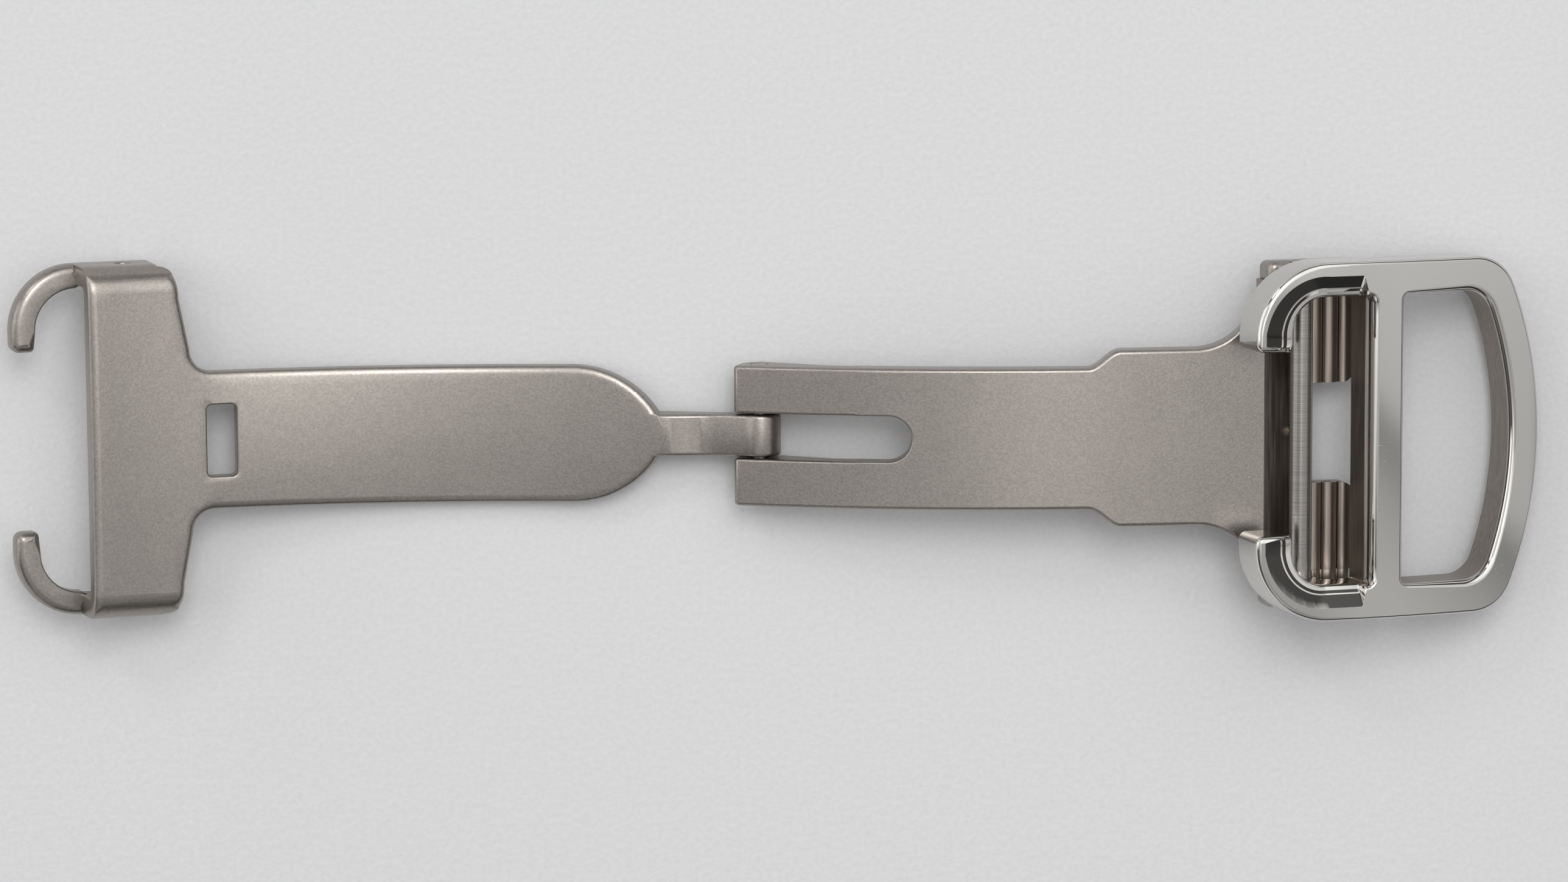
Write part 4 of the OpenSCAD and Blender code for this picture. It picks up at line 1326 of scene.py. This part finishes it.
def grey_levels(tree, factor, stops, start=0.0, end=1.0):
    """Grey levels of the tent, laid out from one value of a factor to another."""
    share = add_node(tree, "ShaderNodeMapRange", {"Value": factor, "From Min": start, "From Max": end})
    made = add_node(tree, "ShaderNodeValToRGB", {"Fac": share.outputs["Result"]})
    elements = made.color_ramp.elements
    while len(elements) < len(stops):
        elements.new(0.5)
    for element, (place, level) in zip(elements, stops):
        element.position = place
        element.color = (level, level, level, 1.0)
    return made.outputs["Color"]


class CLASP_OT_studio(bpy.types.Operator):
    """Sets the paper floor, the soft light and the camera"""

    bl_idname = "clasp.studio"
    bl_label = "Studio"

    def execute(self, context):
        scene = context.scene
        half = 1.5
        mesh = bpy.data.meshes.new("paper_floor")
        corners = [(-half, -half, 0), (half, -half, 0), (half, half, 0), (-half, half, 0)]
        mesh.from_pydata(corners, [], [(0, 1, 2, 3)])
        mesh.materials.append(finish("drawing_paper"))
        linked("paper_floor", mesh)
        self.light_world(scene)
        self.add_soft_boxes()
        self.add_camera(scene)
        scene.view_settings.view_transform = "Standard"
        return {"FINISHED"}

    def light_world(self, scene):
        """A white tent with a dark gap low down, a door on its left and a soft seam on its right."""
        world = bpy.data.worlds.new("Soft tent")
        world.use_nodes = True
        tree = world.node_tree
        tree.nodes.clear()
        way = add_node(tree, "ShaderNodeTexCoord").outputs["Generated"]
        parts = add_node(tree, "ShaderNodeSeparateXYZ", {0: way}).outputs
        x, y, z = parts["X"], parts["Y"], parts["Z"]
        slant = add_node(tree, "ShaderNodeMath", {0: x, 1: 0.13}, operation="MULTIPLY")
        across = add_node(tree, "ShaderNodeMath", {0: y, 1: slant.outputs[0]}, operation="ADD")
        gap, door = grey_levels(tree, z, GAP), grey_levels(tree, z, DOOR)
        seam = grey_levels(tree, across.outputs[0], SEAM, -0.12, 0.02)
        lean = grey_levels(tree, y, LEAN, -0.33, 0.07)
        # The right half: the gap, darkened by the seam far out on the right and brighter towards the back
        far_right = add_node(tree, "ShaderNodeMapRange", {"Value": x, "From Min": 0.35, "From Max": 0.6})
        seamed = add_node(tree, "ShaderNodeMix", {
            0: far_right.outputs["Result"], 6: gap, 7: seam,
        }, data_type="RGBA", blend_type="MULTIPLY")
        right = add_node(tree, "ShaderNodeMix", {
            0: grey_levels(tree, x, LEAN_SHARE), 6: seamed.outputs[2], 7: lean,
        }, data_type="RGBA", blend_type="MULTIPLY")
        # The left half: a bright wall, with the door at its back and in front
        wall = add_node(tree, "ShaderNodeMix", {
            0: grey_levels(tree, y, DOOR_SHARE), 6: grey_levels(tree, z, LEFT_WALL), 7: door,
        }, data_type="RGBA")
        front = add_node(tree, "ShaderNodeMapRange", {
            "Value": y, "From Min": -0.16, "From Max": -0.1, "To Min": 1.0, "To Max": 0.0,
        })
        left = add_node(tree, "ShaderNodeMix", {
            0: front.outputs["Result"], 6: wall.outputs[2], 7: door,
        }, data_type="RGBA")
        far_left = add_node(tree, "ShaderNodeMapRange", {
            "Value": x, "From Min": -0.5, "From Max": -0.1, "To Min": 1.0, "To Max": 0.0,
        })
        tent = add_node(tree, "ShaderNodeMix", {
            0: far_left.outputs["Result"], 6: right.outputs[2], 7: left.outputs[2],
        }, data_type="RGBA")
        back = add_node(tree, "ShaderNodeBackground", {
            "Color": tent.outputs[2], "Strength": scene.clasp_studio.light,
        })
        add_node(tree, "ShaderNodeOutputWorld", {"Surface": back.outputs["Background"]})
        scene.world = world

    def add_soft_boxes(self):
        """Small soft boxes that face the clasp and put soft highlights on its steel."""
        for name, place, size, energy in SOFT_BOXES:
            lamp = bpy.data.lights.new(name, "AREA")
            lamp.shape = "RECTANGLE"
            lamp.size, lamp.size_y = size
            lamp.energy = energy
            light = linked(name, lamp)
            light.location = place
            light.rotation_euler = Vector(place).to_track_quat("Z", "Y").to_euler()

    def add_camera(self, scene):
        """A camera almost straight above the middle of the clasp."""
        studio = scene.clasp_studio
        camera = bpy.data.cameras.new("Camera")
        camera.sensor_width = 36.0
        camera.lens = camera.sensor_width * studio.distance / studio.view_w
        camera.clip_start, camera.clip_end = 0.01, 10.0
        middle = Vector((0.51 * MM, -0.42 * MM, HINGE.z))
        back = Vector((0, sin(studio.tilt), cos(studio.tilt)))
        up = Vector((0, cos(studio.tilt), -sin(studio.tilt)))
        aim = Matrix((up.cross(back), up, back)).transposed()
        lens = linked("Camera", camera)
        lens.location = middle + back * studio.distance
        lens.rotation_euler = (aim @ Matrix.Rotation(-studio.roll, 3, "Z")).to_euler()
        scene.camera = lens


OPERATORS = (
    CLASP_OT_outer_blade, CLASP_OT_inner_blade, CLASP_OT_buckle_frame, CLASP_OT_pins, CLASP_OT_grips,
    CLASP_OT_catch, CLASP_OT_studio,
)


class CLASP_PT_build(bpy.types.Panel):
    """Buttons that build the clasp piece by piece"""

    bl_idname = "CLASP_PT_build"
    bl_label = "Deployant Clasp"
    bl_space_type = "VIEW_3D"
    bl_region_type = "UI"
    bl_category = "Clasp"

    def draw(self, context):
        for operator in OPERATORS:
            self.layout.operator(operator.bl_idname)


GROUPS = {
    "clasp_blades": BladeSizes, "clasp_base": BaseSizes, "clasp_buckle": BuckleSizes, "clasp_head": HeadSizes,
    "clasp_colours": FinishColours, "clasp_studio": StudioSettings,
}
CLASSES = (*GROUPS.values(), *OPERATORS, CLASP_PT_build)


def register():
    for cls in CLASSES:
        bpy.utils.register_class(cls)
    for name, group in GROUPS.items():
        setattr(bpy.types.Scene, name, PointerProperty(type=group))


def unregister():
    for name in GROUPS:
        delattr(bpy.types.Scene, name)
    for cls in reversed(CLASSES):
        bpy.utils.unregister_class(cls)


def main():
    register()
    bpy.ops.clasp.outer_blade()
    bpy.ops.clasp.inner_blade()
    bpy.ops.clasp.buckle_frame()
    bpy.ops.clasp.pins()
    bpy.ops.clasp.grips()
    bpy.ops.clasp.catch()
    bpy.ops.clasp.studio()


if __name__ == "__main__":
    main()
